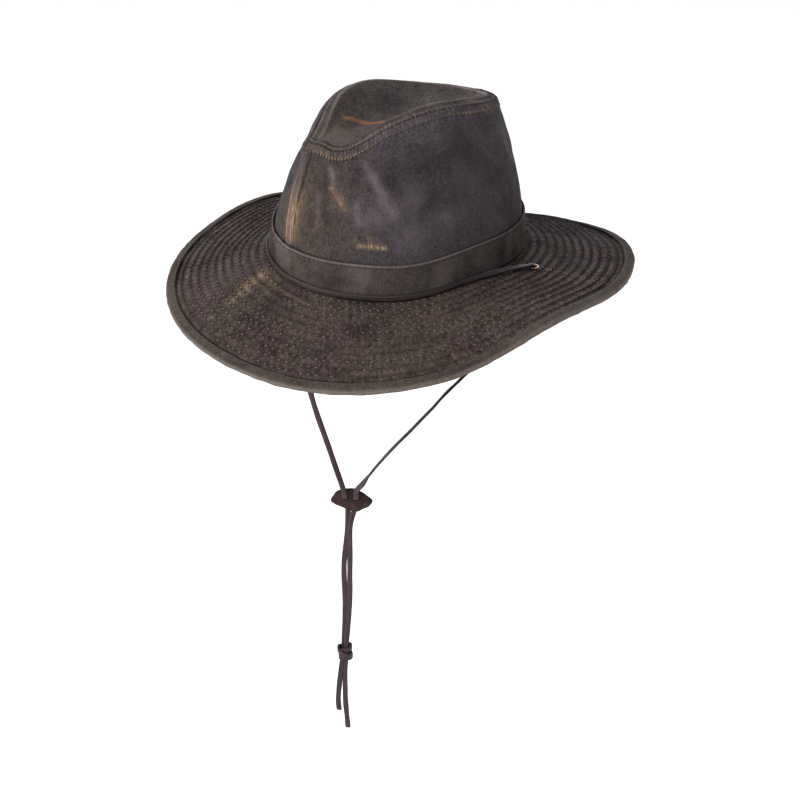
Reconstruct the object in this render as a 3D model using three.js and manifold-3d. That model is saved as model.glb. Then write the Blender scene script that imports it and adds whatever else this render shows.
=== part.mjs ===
// Wide-brimmed cotton bush hat with a flat chin lace, slider and knot.
// Millimetres. The front of the hat faces -Y, its left side is +X, up is +Z.
// The origin is the middle of the head opening, at the height of the brim break.
// Angles run round the hat from the front (0) over its left side (90) to the back (180).
import * as THREE from 'three';
import Module from 'manifold-3d';
import { mergeVertices } from 'three/addons/utils/BufferGeometryUtils.js';

// crown
const crownLength = 195;
const crownWidth = 159;
const crownHeight = 108;
const tipLength = 152;
const tipWidth = 84;
const clothThickness = 1.6;
const ridgeRise = 3;
const edgeSag = 3.4;
const dentDepth = 20;
const dentReach = 0.62;
const pinchDepth = 8.5;
const pinchAngle = 22;
const pinchSpread = 16;
const seamWidth = 7;
const seamRaise = 0.7;
// brim and its binding
const brimWidth = 80.5;
const brimThickness = 2.8;
const breakRadius = 3;
const bindingWidth = 8;
const bindingThickness = 0.8;
// band
const bandHeight = 24;
const bandThickness = 1.4;
const bandFoot = 0.6;
// lace, eyelets, slider and knot
const laceWidth = 3.6;
const laceThickness = 1.7;
const eyeletAngle = 115;
const eyeletOffset = 17.8;
const eyeletHole = 4.6;
const eyeletBarrel = 5.6;
const eyeletFlange = 8;
const flangeThickness = 0.6;
const sliderLength = 32;
const sliderWidth = 18.5;
const sliderThickness = 3;
const sliderHole = 4.8;
const holeSpacing = 8.8;
const sliderTurn = 40;
const sliderTilt = 5;
const knotLength = 16;
const knotWidth = 13;
// clearance between neighbouring pieces
const gap = 0.3;

// The edge where the crown's side meets its tip, from the front to the back of one side.
// angle: place on the brim break that the edge point stands over, degrees
// out, along: shares of half the tip's width and half its length; height: share of crownHeight
// lean: how evenly the side leans in on its way up, 0 all near the top, 1 all the way
const tipEdge = [
  { angle: 0, out: 0, along: -1, height: 0.843, lean: 0.15 },
  { angle: 12, out: 0.18, along: -0.965, height: 0.838, lean: 0.2 },
  { angle: 24, out: 0.34, along: -0.9, height: 0.808, lean: 0.5 },
  { angle: 33, out: 0.47, along: -0.79, height: 0.813, lean: 0.66 },
  { angle: 43, out: 0.62, along: -0.65, height: 0.866, lean: 0.74 },
  { angle: 53, out: 0.76, along: -0.52, height: 0.925, lean: 0.66 },
  { angle: 66, out: 0.92, along: -0.33, height: 0.978, lean: 0.52 },
  { angle: 84, out: 1, along: -0.05, height: 1, lean: 0.42 },
  { angle: 102, out: 0.99, along: 0.28, height: 0.985, lean: 0.45 },
  { angle: 124, out: 0.88, along: 0.6, height: 0.953, lean: 0.52 },
  { angle: 146, out: 0.65, along: 0.85, height: 0.918, lean: 0.58 },
  { angle: 163, out: 0.35, along: 0.99, height: 0.89, lean: 0.55 },
  { angle: 180, out: 0, along: 1.04, height: 0.88, lean: 0.46 },
];

// Floor of the dent in the tip along the middle, from front to back.
// along: share of half the tip's length; depth: share of dentDepth under crownHeight
const dentFloor = [
  { along: -1, depth: 0.9 },
  { along: -0.5, depth: 1 },
  { along: -0.1, depth: 1 },
  { along: 0.3, depth: 0.9 },
  { along: 0.62, depth: 0.75 },
  { along: 1, depth: 0.7 },
];

// The brim round the hat: how steeply it falls, in degrees, and the height of its break.
const brimFall = [
  { angle: 0, fall: 24.1, rise: -0.2 },
  { angle: 30, fall: 26.6, rise: -4.6 },
  { angle: 60, fall: 17.8, rise: -6.5 },
  { angle: 90, fall: 1.9, rise: -1.7 },
  { angle: 120, fall: 4.6, rise: -2.6 },
  { angle: 150, fall: 8.1, rise: -3.2 },
  { angle: 180, fall: 18.5, rise: -2.2 },
  { angle: 210, fall: 25, rise: -2.2 },
  { angle: 240, fall: 17, rise: -0.8 },
  { angle: 270, fall: 7.7, rise: 1.1 },
  { angle: 300, fall: 15, rise: 4.6 },
  { angle: 330, fall: 20.8, rise: 4.4 },
];

// One strand of the lace from under its eyelet to the slider; the other is its mirror image.
const strandRoute = [
  { out: 89.8, along: 46, height: -11 },
  { out: 90, along: 43, height: -22 },
  { out: 89.5, along: 36, height: -36 },
  { out: 87.5, along: 19, height: -50 },
  { out: 84, along: 3, height: -63 },
  { out: 80.5, along: -12, height: -75 },
  { out: 76.5, along: -23, height: -85 },
  { out: 72, along: -30, height: -95 },
  { out: 66, along: -35.5, height: -105 },
  { out: 60, along: -40.5, height: -115 },
  { out: 53, along: -44.5, height: -125 },
  { out: 45.5, along: -46.5, height: -135 },
  { out: 38, along: -47.6, height: -145 },
  { out: 30.5, along: -48.3, height: -155 },
  { out: 23.4, along: -48.9, height: -165 },
  { out: 16.7, along: -49.5, height: -175 },
];

// The pair of strands from the slider down to the ends, about its own middle line.
// along, height: the middle line; aside: half the distance between the strands across the
// slider's length; apart: half their distance front to back, the left strand in front;
// before: how far both hang in front of the middle line
const pairRoute = [
  { along: -47.4, height: -186, aside: 5.2, apart: 0, before: 5 },
  { along: -47.4, height: -193.4, aside: 4.4, apart: 0, before: 4.4 },
  { along: -47.4, height: -194.8, aside: 4.4, apart: 0, before: 1.8 },
  { along: -47.4, height: -195.2, aside: 4.4, apart: 0, before: -1.8 },
  { along: -47.4, height: -196.8, aside: 4.3, apart: 0.2, before: -4.6 },
  { along: -48.2, height: -203, aside: 3.4, apart: 0.6, before: -5 },
  { along: -49.6, height: -211, aside: 2.2, apart: 1.1, before: -3.2 },
  { along: -50.7, height: -219, aside: 1.3, apart: 1.3, before: -1.2 },
  { along: -51.1, height: -229, aside: 1.4, apart: 1.3, before: 0 },
  { along: -52, height: -241, aside: 2.1, apart: 1.3, before: 0 },
  { along: -53, height: -255, aside: 2.6, apart: 1.3, before: 0 },
  { along: -53.3, height: -270, aside: 2.5, apart: 1.3, before: 0 },
  { along: -53.3, height: -285, aside: 2.2, apart: 1.3, before: 0 },
  { along: -53.9, height: -300, aside: 1.8, apart: 1.3, before: 0 },
  { along: -55.2, height: -315, aside: 1.5, apart: 1.3, before: 0 },
  { along: -56, height: -325, aside: 1.3, apart: 1.3, before: 0 },
  { along: -56.7, height: -335, aside: 1.3, apart: 1.3, before: 0 },
  { along: -57.9, height: -345, aside: 1.5, apart: 1.3, before: 0 },
  { along: -59.2, height: -355, aside: 2, apart: 1.3, before: 0 },
  { along: -60.2, height: -369, aside: 2.7, apart: 1.3, before: 0 },
  { along: -60.8, height: -383, aside: 3.3, apart: 1.3, before: 0 },
];
// The two free ends below the last row of the pair.
const leftEnd = { along: -59, height: -410, aside: 3.4, apart: 1.3, before: 0 };
const rightEnd = { along: -60.6, height: -394, aside: 3, apart: 1.3, before: 0 };
const knotMiddle = { along: -56.7, height: -335 };
const sliderMiddle = { along: -47.4, height: -196.5 };
const holeRise = 1.5;

const columnAngles = [
  0, 2.2, 4.6, 9, 14, 19, 24, 28.5, 33, 37.5, 42, 47, 53, 60, 68, 77,
  87, 97, 107, 117, 127, 137, 147, 157, 166, 173, 177.4,
];
const wallRows = [0, 0.1, 0.2, 0.32, 0.44, 0.56, 0.67, 0.76, 0.84, 0.91, 0.96, 1];
const tipRows = [0, 0.07, 0.16, 0.3, 0.48, 0.7, 1];
const brimRows = [0, 0.08, 0.22, 0.42, 0.64, 0.84, 1];
const bandRows = [0, 0.34, 0.68, 1];

const rad = THREE.MathUtils.degToRad;
const wasm = await Module();
wasm.setup();

// Smooth value of one column of a table at a place along its key column.
function smooth(rows, key, column, at) {
  let i = 0;
  while (i < rows.length - 2 && rows[i + 1][key] < at) i += 1;
  const a = rows[i];
  const b = rows[i + 1];
  const before = rows[Math.max(i - 1, 0)];
  const after = rows[Math.min(i + 2, rows.length - 1)];
  const span = b[key] - a[key];
  const t = THREE.MathUtils.clamp((at - a[key]) / span, 0, 1);
  const slopeA = (b[column] - before[column]) / (b[key] - before[key] || 1);
  const slopeB = (after[column] - a[column]) / (after[key] - a[key] || 1);
  const t2 = t * t;
  const t3 = t2 * t;
  return (2 * t3 - 3 * t2 + 1) * a[column] + (t3 - 2 * t2 + t) * span * slopeA
    + (3 * t2 - 2 * t3) * b[column] + (t3 - t2) * span * slopeB;
}

// The same round a closed table whose key runs once round the hat.
function smoothRound(rows, column, angle) {
  const turn = ((angle % 360) + 360) % 360;
  const first = rows[0];
  const last = rows[rows.length - 1];
  const ring = [
    { ...last, angle: last.angle - 360 },
    ...rows,
    { ...first, angle: first.angle + 360 },
    { ...rows[1], angle: rows[1].angle + 360 },
  ];
  return smooth(ring, 'angle', column, turn);
}

// Point of the brim break in plan, with the outward direction there.
function breakPoint(angle) {
  const a = rad(angle);
  const x = crownWidth / 2 * Math.sin(a);
  const y = -crownLength / 2 * Math.cos(a);
  const nx = x / (crownWidth / 2) ** 2;
  const ny = y / (crownLength / 2) ** 2;
  const size = Math.hypot(nx, ny);
  return { x, y, nx: nx / size, ny: ny / size, z: smoothRound(brimFall, 'rise', angle) };
}

// Edge point between the crown's side and its tip.
function edgePoint(angle) {
  const turn = ((angle % 360) + 360) % 360;
  const side = turn > 180 ? -1 : 1;
  const at = turn > 180 ? 360 - turn : turn;
  // the rear of the right edge has sagged
  const sagging = side < 0 ? Math.sin(Math.PI * THREE.MathUtils.clamp((at - 80) / 100, 0, 1)) ** 2 : 0;
  return {
    side,
    at,
    x: side * tipWidth / 2 * Math.max(smooth(tipEdge, 'angle', 'out', at), 0),
    y: tipLength / 2 * smooth(tipEdge, 'angle', 'along', at),
    z: crownHeight * smooth(tipEdge, 'angle', 'height', at) - edgeSag * sagging,
    lean: smooth(tipEdge, 'angle', 'lean', at),
  };
}

// Point on the outside of the crown's side; share runs from the brim break up to the edge.
function wallPoint(angle, share) {
  const foot = breakPoint(angle);
  const edge = edgePoint(angle);
  const lean = edge.lean * share ** 1.3 + (1 - edge.lean) * share ** 3.5;
  const place = Math.exp(-(((edge.at - pinchAngle) / pinchSpread) ** 2));
  const pinch = pinchDepth * place * Math.sin(Math.PI * share ** 2.2) ** 2;
  return new THREE.Vector3(
    foot.x + (edge.x - foot.x) * lean - foot.nx * pinch,
    foot.y + (edge.y - foot.y) * lean - foot.ny * pinch,
    foot.z + (edge.z - foot.z) * share,
  );
}

// Point on the outside of the tip; share runs from the edge in to the floor of the dent.
function tipPoint(angle, share) {
  const edge = edgePoint(angle);
  const endAlong = edge.y * dentReach;
  const depth = smooth(dentFloor, 'along', 'depth', endAlong / (tipLength / 2));
  const floor = crownHeight - dentDepth * depth;
  const front = Math.exp(-((edge.at / 34) ** 2));
  const rise = ridgeRise * (1 - 0.85 * front) * Math.sin(Math.PI * Math.min(share / 0.36, 1)) ** 2;
  const fall = THREE.MathUtils.smoothstep(share, 0.15, 0.64);
  return new THREE.Vector3(
    edge.x * (1 - share),
    edge.y + (endAlong - edge.y) * share,
    edge.z + rise + (floor - edge.z) * fall,
  );
}

// Point of the brim: across from the break outward, above its top surface by lift.
function brimPoint(angle, across, lift) {
  const foot = breakPoint(angle);
  const fall = rad(smoothRound(brimFall, 'fall', angle));
  const run = Math.max(across, 0);
  const drop = run - breakRadius * (1 - Math.exp(-run / breakRadius));
  const bend = fall * (1 - Math.exp(-run / breakRadius));
  const flat = across > 0 ? across * Math.cos(fall) : across;
  const out = flat + lift * Math.sin(bend);
  return new THREE.Vector3(
    foot.x + foot.nx * out,
    foot.y + foot.ny * out,
    foot.z - drop * Math.sin(fall) + lift * Math.cos(bend),
  );
}

// A closed solid from a list of triangles, each three points.
function solidOf(triangles) {
  const flat = [];
  for (const [a, b, c] of triangles) {
    flat.push(a.x, a.y, a.z, b.x, b.y, b.z, c.x, c.y, c.z);
  }
  const geometry = new THREE.BufferGeometry();
  geometry.setAttribute('position', new THREE.Float32BufferAttribute(flat, 3));
  return mergeVertices(geometry, 1e-4);
}

// Triangles between two lines of points; closed joins the last pair to the first.
function strip(lower, upper, closed) {
  const faces = [];
  const count = closed ? lower.length : lower.length - 1;
  for (let i = 0; i < count; i += 1) {
    const j = (i + 1) % lower.length;
    faces.push([lower[i], lower[j], upper[j]]);
    faces.push([lower[i], upper[j], upper[i]]);
  }
  return faces.filter(([a, b, c]) => (
    a.distanceTo(b) > 1e-4 && b.distanceTo(c) > 1e-4 && c.distanceTo(a) > 1e-4
  ));
}

// A solid from closed rings of points that run round a section, one ring per place.
function loft(rings, closedRound) {
  const faces = [];
  const last = closedRound ? rings.length : rings.length - 1;
  for (let i = 0; i < last; i += 1) {
    faces.push(...strip(rings[i], rings[(i + 1) % rings.length], true));
  }
  if (!closedRound) {
    faces.push(...cap(rings[0], true));
    faces.push(...cap(rings[rings.length - 1], false));
  }
  return outward(solidOf(faces));
}

// A fan that closes one end of a loft.
function cap(ring, flipped) {
  const middle = new THREE.Vector3();
  for (const p of ring) middle.addScaledVector(p, 1 / ring.length);
  return ring.map((p, i) => {
    const q = ring[(i + 1) % ring.length];
    return flipped ? [middle, q, p] : [middle, p, q];
  });
}

// Turns a closed solid's faces outward if its volume comes out negative.
function outward(geometry) {
  const p = geometry.attributes.position;
  const index = geometry.index.array;
  const a = new THREE.Vector3();
  const b = new THREE.Vector3();
  const c = new THREE.Vector3();
  let volume = 0;
  for (let i = 0; i < index.length; i += 3) {
    a.fromBufferAttribute(p, index[i]);
    b.fromBufferAttribute(p, index[i + 1]);
    c.fromBufferAttribute(p, index[i + 2]);
    volume += a.dot(b.cross(c));
  }
  if (volume < 0) {
    for (let i = 0; i < index.length; i += 3) {
      const kept = index[i];
      index[i] = index[i + 1];
      index[i + 1] = kept;
    }
  }
  return geometry;
}

// Cuts the given solids out of a solid.
function cut(geometry, tools) {
  const asManifold = (g) => new wasm.Manifold(new wasm.Mesh({
    numProp: 3,
    vertProperties: new Float32Array(g.attributes.position.array),
    triVerts: new Uint32Array(g.index.array),
  }));
  let body = asManifold(geometry);
  for (const tool of tools) body = body.subtract(asManifold(tool));
  const mesh = body.getMesh();
  const result = new THREE.BufferGeometry();
  const points = new Float32Array(mesh.vertProperties);
  result.setAttribute('position', new THREE.BufferAttribute(points, 3));
  result.setIndex(new THREE.BufferAttribute(new Uint32Array(mesh.triVerts), 1));
  return result;
}

// The crown's outside as one grid: rows from the brim break up over the edge into the dent.
const ringAngles = [
  ...columnAngles,
  180,
  ...columnAngles.slice(1).reverse().map((angle) => 360 - angle),
];

function faceNormal(a, b, c) {
  return new THREE.Vector3().subVectors(b, a).cross(new THREE.Vector3().subVectors(c, a))
    .normalize();
}

// Outward directions of a grid of points that is closed round its columns.
function gridNormals(grid) {
  return grid.map((row, j) => row.map((p, i) => {
    const left = row[(i + row.length - 1) % row.length];
    const right = row[(i + 1) % row.length];
    const below = grid[Math.max(j - 1, 0)][i];
    const above = grid[Math.min(j + 1, grid.length - 1)][i];
    return faceNormal(new THREE.Vector3(), new THREE.Vector3().subVectors(right, left),
      new THREE.Vector3().subVectors(above, below));
  }));
}

const wallGrid = wallRows.map((share) => ringAngles.map((angle) => wallPoint(angle, share)));
const tipGrid = tipRows.map((share) => ringAngles.map((angle) => tipPoint(angle, share)));
const wallNormals = gridNormals(wallGrid);
const tipNormals = gridNormals(tipGrid);
tipNormals[tipNormals.length - 1].forEach((n, i) => {
  const other = (ringAngles.length - i) % ringAngles.length;
  const mirrored = tipNormals[tipNormals.length - 2];
  n.copy(mirrored[i]).add(mirrored[other]).normalize();
});

// Both sheets share one slanted joint at the edge, so their thickness meets without a clash.
const joint = wallNormals[wallNormals.length - 1].map((n, i) => {
  const sum = new THREE.Vector3().addVectors(n, tipNormals[0][i]).normalize();
  return sum.divideScalar(Math.max(sum.dot(n), 0.6));
});
wallNormals[wallNormals.length - 1] = joint;
tipNormals[0] = joint;

function inset(grid, normals, depth) {
  return grid.map((row, j) => row.map((p, i) => (
    p.clone().addScaledVector(normals[j][i], -depth))));
}

// Pulls the last row of a sheet back from the joint by half the gap.
function pulledBack(grid, last, next) {
  return grid.map((row, j) => (j !== last ? row : row.map((p, i) => {
    const direction = new THREE.Vector3().subVectors(grid[next][i], p).normalize();
    return p.clone().addScaledVector(direction, gap / 2);
  })));
}

function crownSide(side) {
  const last = wallRows.length - 1;
  const columns = ringAngles.map((angle, i) => i)
    .filter((i) => (side > 0 ? ringAngles[i] <= 180 : ringAngles[i] >= 180 || i === 0));
  if (side < 0) columns.push(columns.shift());
  const raised = wallGrid.map((row, j) => row.map((p, i) => {
    const near = THREE.MathUtils.clamp((seamWidth / 2 + 0.6 - Math.abs(p.x)) / 0.6, 0, 1);
    return p.clone().addScaledVector(wallNormals[j][i], seamRaise * near);
  }));
  const lift = new THREE.Vector3(0, 0, gap);
  raised[0].forEach((p) => p.add(lift));
  const outer = pulledBack(raised, last, last - 1);
  const inner = inset(wallGrid, wallNormals, clothThickness);
  inner[0].forEach((p, i) => p.setZ(wallGrid[0][i].z + gap));
  const innerCut = pulledBack(inner, last, last - 1);
  const pick = (grid) => grid.map((row) => columns.map((i) => {
    const p = row[i].clone();
    p.x = side * Math.max(side * p.x, gap / 2);
    return p;
  }));
  const out = pick(outer);
  const back = pick(innerCut);
  const faces = [];
  for (let j = 0; j < last; j += 1) {
    faces.push(...strip(out[j], out[j + 1], false));
    faces.push(...strip(back[j + 1], back[j], false));
  }
  faces.push(...strip(back[0], out[0], false));
  faces.push(...strip(out[last], back[last], false));
  const end = columns.length - 1;
  const frontOut = out.map((row) => row[0]);
  const frontIn = back.map((row) => row[0]);
  const backOut = out.map((row) => row[end]);
  const backIn = back.map((row) => row[end]);
  faces.push(...strip(frontOut, frontIn, false));
  faces.push(...strip(backIn, backOut, false));
  return outward(solidOf(faces));
}

function crownTip() {
  const outer = pulledBack(tipGrid, 0, 1);
  const inner = pulledBack(inset(tipGrid, tipNormals, clothThickness), 0, 1);
  inner[inner.length - 1].forEach((p) => p.setX(0));
  const faces = [];
  for (let j = 0; j < tipRows.length - 1; j += 1) {
    faces.push(...strip(outer[j], outer[j + 1], true));
    faces.push(...strip(inner[j + 1], inner[j], true));
  }
  faces.push(...strip(inner[0], outer[0], true));
  return outward(solidOf(faces));
}

// A round plug along the brim's thickness at an eyelet.
function eyeletFrame(side) {
  const angle = side * eyeletAngle;
  const middle = brimPoint(angle, eyeletOffset, -brimThickness / 2);
  const top = brimPoint(angle, eyeletOffset, 0);
  const axis = new THREE.Vector3().subVectors(top, middle).normalize();
  const turn = new THREE.Quaternion().setFromUnitVectors(new THREE.Vector3(0, 0, 1), axis);
  return new THREE.Matrix4().compose(middle, turn, new THREE.Vector3(1, 1, 1));
}

function brim() {
  const outer = brimWidth - bindingThickness - gap;
  const rows = brimRows.map((share) => outer * share);
  const top = [-clothThickness, ...rows];
  const rings = ringAngles.map((angle) => [
    ...top.map((across) => brimPoint(angle, across, 0)),
    ...top.slice().reverse().map((across) => brimPoint(angle, across, -brimThickness)),
  ]);
  const holes = [1, -1].map((side) => {
    const plug = new THREE.CylinderGeometry(
      eyeletBarrel / 2 + gap, eyeletBarrel / 2 + gap, brimThickness * 3, 16);
    plug.rotateX(Math.PI / 2);
    plug.applyMatrix4(eyeletFrame(side));
    plug.deleteAttribute('normal');
    plug.deleteAttribute('uv');
    return mergeVertices(plug, 1e-4);
  });
  return cut(loft(rings, true), holes);
}

function binding() {
  const edge = brimWidth;
  const cover = bindingThickness + gap;
  const under = -brimThickness;
  const section = [
    [edge - bindingWidth, gap],
    [edge - bindingWidth, cover],
    [edge - 2.2, cover],
    [edge - 0.5, 0.1],
    [edge, under / 2],
    [edge - 0.5, under - 0.1],
    [edge - 2.2, under - cover],
    [edge - bindingWidth, under - cover],
    [edge - bindingWidth, under - gap],
    [edge - bindingThickness, under - gap],
    [edge - bindingThickness, gap],
  ];
  const rings = ringAngles.map((angle) => (
    section.map(([across, lift]) => brimPoint(angle, across, lift))));
  return loft(rings, true);
}

// Outside of the crown's side at a height above the brim break, moved out by a distance.
function besideWall(angle, height, distance) {
  const foot = breakPoint(angle);
  const share = height / (edgePoint(angle).z - foot.z);
  const p = wallPoint(angle, share);
  const near = THREE.MathUtils.clamp((seamWidth / 2 + 0.6 - Math.abs(p.x)) / 0.6, 0, 1);
  const beside = new THREE.Vector3().subVectors(wallPoint(angle + 1, share),
    wallPoint(angle - 1, share));
  const up = new THREE.Vector3().subVectors(wallPoint(angle, share + 0.02), wallPoint(angle, share));
  const normal = faceNormal(new THREE.Vector3(), beside, up);
  return p.addScaledVector(normal, distance + seamRaise * near);
}

function hatBand() {
  const rings = ringAngles.map((angle) => {
    const inner = bandRows.map((share) => (
      besideWall(angle, bandFoot + (bandHeight - bandFoot) * share, gap)));
    const outer = bandRows.map((share) => (
      besideWall(angle, bandFoot + (bandHeight - bandFoot) * share, gap + bandThickness)));
    return [...inner, ...outer.reverse()];
  });
  return loft(rings, true);
}

function eyelet(side) {
  const hole = eyeletHole / 2;
  const barrel = eyeletBarrel / 2;
  const flange = eyeletFlange / 2;
  const top = brimThickness / 2 + gap;
  const profile = [
    [hole, -top - flangeThickness / 2],
    [hole + 0.3, -top - flangeThickness],
    [flange - 0.3, -top - flangeThickness],
    [flange, -top],
    [barrel, -top],
    [barrel, top],
    [flange, top],
    [flange - 0.3, top + flangeThickness],
    [hole + 0.3, top + flangeThickness],
    [hole, top + flangeThickness / 2],
    [hole, -top - flangeThickness / 2],
  ].map(([x, y]) => new THREE.Vector2(x, y));
  const ring = new THREE.LatheGeometry(profile, 20);
  ring.rotateX(Math.PI / 2);
  ring.applyMatrix4(eyeletFrame(side));
  ring.deleteAttribute('normal');
  ring.deleteAttribute('uv');
  return outward(mergeVertices(ring, 1e-4));
}

// Flat lace along a route; each stop holds a point and the direction of its width.
function lace(stops) {
  const w = laceWidth / 2;
  const t = laceThickness / 2;
  const section = [
    [w, -t * 0.45], [w, t * 0.45], [w * 0.78, t], [-w * 0.78, t],
    [-w, t * 0.45], [-w, -t * 0.45], [-w * 0.78, -t], [w * 0.78, -t],
  ];
  const rings = stops.map((stop, i) => {
    const before = stops[Math.max(i - 1, 0)].point;
    const after = stops[Math.min(i + 1, stops.length - 1)].point;
    const run = new THREE.Vector3().subVectors(after, before).normalize();
    const wide = stop.wide.clone().addScaledVector(run, -stop.wide.dot(run)).normalize();
    const thin = new THREE.Vector3().crossVectors(run, wide);
    return section.map(([a, b]) => (
      stop.point.clone().addScaledVector(wide, a).addScaledVector(thin, b)));
  });
  return loft(rings, false);
}

function crownLace() {
  const away = gap + bandThickness + gap + laceThickness / 2;
  const rise = bandFoot + laceWidth / 2;
  const onBand = (angle) => besideWall(angle, rise, away);
  const leave = 82;
  const stops = [];
  const end = (side) => {
    const frame = eyeletFrame(side);
    const from = onBand(side * leave);
    const hole = new THREE.Vector3().applyMatrix4(frame);
    const toBand = new THREE.Vector3().subVectors(from, hole).setZ(0).normalize();
    const at = (run, z) => new THREE.Vector3(0, 0, z).applyMatrix4(frame).addScaledVector(toBand, run);
    const flangeTop = brimThickness / 2 + gap + flangeThickness;
    const clear = flangeTop + gap + laceThickness / 2;
    const flat = new THREE.Vector3(-toBand.y, toBand.x, 0);
    const upright = new THREE.Vector3(0, 0, 1);
    const list = [
      { point: at(0, gap / 2), wide: flat },
      { point: at(0, brimThickness / 2), wide: flat },
      { point: at(0.5, flangeTop + 0.8), wide: flat },
      { point: at(2.4, clear + 0.5), wide: flat },
      { point: at(5.4, clear + 0.3), wide: flat },
    ];
    const high = brimThickness / 2;
    for (let k = 2; k < 8; k += 1) {
      const share = k / 8;
      const angle = eyeletAngle + (leave - eyeletAngle) * share;
      const foot = breakPoint(side * angle);
      const dx = hole.x - foot.x;
      const dy = hole.y - foot.y;
      const out = (dx * toBand.y - dy * toBand.x) / (foot.nx * toBand.y - foot.ny * toBand.x);
      const lift = (clear - high) * (1 - share) + rise * share;
      list.push({
        point: brimPoint(side * angle, out, Math.max(lift, laceWidth / 2 + gap)),
        wide: flat.clone().multiplyScalar(1 - share).addScaledVector(upright, -side * share),
      });
    }
    return list;
  };
  stops.push(...end(1));
  const held = columnAngles.filter((angle) => angle < leave - 2);
  const ways = [leave, ...held.slice(1).reverse(), ...held.map((angle) => -angle), -leave];
  for (const angle of ways) {
    stops.push({ point: onBand(angle), wide: new THREE.Vector3(0, 0, -1) });
  }
  stops.push(...end(-1).reverse().map((stop) => ({ ...stop, wide: stop.wide.negate() })));
  return lace(stops);
}

// Directions of the slider: along its length, and out of its front face.
const sliderAlong = new THREE.Vector3(Math.cos(rad(sliderTurn)), Math.sin(rad(sliderTurn)), 0);
const sliderFront = new THREE.Vector3(Math.sin(rad(sliderTurn)), -Math.cos(rad(sliderTurn)), 0);

function strandStops(side) {
  const stops = [];
  const frame = eyeletFrame(side);
  const flat = new THREE.Vector3(1, 0, 0);
  for (const z of [-gap / 2, -brimThickness / 2 - flangeThickness - gap - 1]) {
    stops.push({ point: new THREE.Vector3(0, 0, z).applyMatrix4(frame), wide: flat });
  }
  const held = side > 0 ? sliderFront : sliderAlong;
  strandRoute.forEach((row, i) => {
    const share = Math.min((i + 1) / 4, 1);
    stops.push({
      point: new THREE.Vector3(side * row.out, row.along, row.height),
      wide: flat.clone().multiplyScalar(1 - share).addScaledVector(held, share),
    });
  });
  if (side > 0) stops[stops.length - 1].wide = sliderFront.clone().add(sliderAlong);
  for (const row of [...pairRoute, side > 0 ? leftEnd : rightEnd]) {
    stops.push({
      point: new THREE.Vector3(0, row.along, row.height)
        .addScaledVector(sliderAlong, side * row.aside)
        .addScaledVector(sliderFront, row.before + side * row.apart),
      wide: sliderAlong,
    });
  }
  return stops;
}

function cordSlider() {
  const l = sliderLength / 2;
  const w = sliderWidth / 2;
  const outline = new THREE.Shape();
  outline.moveTo(-l, 0);
  outline.bezierCurveTo(-l * 0.78, w * 0.35, -l * 0.5, w * 0.98, -l * 0.08, w);
  outline.bezierCurveTo(l * 0.4, w * 0.98, l * 0.75, w * 0.4, l, 0);
  outline.bezierCurveTo(l * 0.75, -w * 0.45, l * 0.45, -w * 0.95, 0, -w);
  outline.bezierCurveTo(-l * 0.45, -w * 0.95, -l * 0.78, -w * 0.4, -l, 0);
  const bevel = 0.4;
  const body = new THREE.ExtrudeGeometry(outline, {
    depth: sliderThickness - 2 * bevel,
    bevelThickness: bevel,
    bevelSize: bevel,
    bevelOffset: -bevel,
    bevelSegments: 1,
    curveSegments: 8,
  });
  body.translate(0, 0, -(sliderThickness - 2 * bevel) / 2);
  body.deleteAttribute('normal');
  body.deleteAttribute('uv');
  const frame = new THREE.Matrix4().makeBasis(sliderAlong, new THREE.Vector3(0, 0, 1), sliderFront);
  frame.setPosition(0, sliderMiddle.along, sliderMiddle.height);
  const tilt = new THREE.Matrix4().makeRotationZ(-rad(sliderTilt));
  body.applyMatrix4(tilt);
  body.applyMatrix4(frame);
  const holes = [1, -1].map((side) => {
    const plug = new THREE.CylinderGeometry(sliderHole / 2, sliderHole / 2, sliderThickness * 3, 16);
    plug.rotateX(Math.PI / 2);
    plug.translate(side * holeSpacing / 2, holeRise, 0);
    plug.applyMatrix4(frame);
    plug.deleteAttribute('normal');
    plug.deleteAttribute('uv');
    return mergeVertices(plug, 1e-4);
  });
  return cut(outward(mergeVertices(body, 1e-4)), holes);
}

function cordKnot() {
  const half = knotLength / 2;
  const r = knotWidth / 2;
  const profile = [
    [0, -half], [r * 0.62, -half], [r * 0.9, -half * 0.8], [r, -half * 0.48], [r * 0.86, -half * 0.1],
    [r * 0.86, half * 0.1], [r, half * 0.5], [r * 0.88, half * 0.82], [r * 0.6, half], [0, half],
  ].map(([x, y]) => new THREE.Vector2(x, y));
  const body = new THREE.LatheGeometry(profile, 20);
  body.rotateX(Math.PI / 2);
  body.rotateX(rad(6));
  body.translate(0, knotMiddle.along, knotMiddle.height);
  body.deleteAttribute('normal');
  body.deleteAttribute('uv');
  const ways = [1, -1].map((side) => {
    const stops = strandStops(side);
    const first = stops.findIndex((stop) => stop.point.z < knotMiddle.height + knotLength) - 1;
    const near = stops.slice(first).filter((stop) => (
      Math.abs(stop.point.z - knotMiddle.height) < knotLength * 1.6));
    const rings = near.map((stop) => {
      const ring = [];
      for (let k = 0; k < 12; k += 1) {
        const a = 2 * Math.PI * k / 12;
        const reachWide = laceWidth / 2 + gap + 0.1;
        const reachThin = laceThickness / 2 + gap + 0.2;
        ring.push(stop.point.clone()
          .addScaledVector(sliderAlong, 1.12 * reachWide * Math.cos(a))
          .addScaledVector(sliderFront, 1.25 * reachThin * Math.sin(a)));
      }
      return ring;
    });
    return loft(rings, false);
  });
  return cut(outward(mergeVertices(body, 1e-4)), ways);
}

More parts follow.
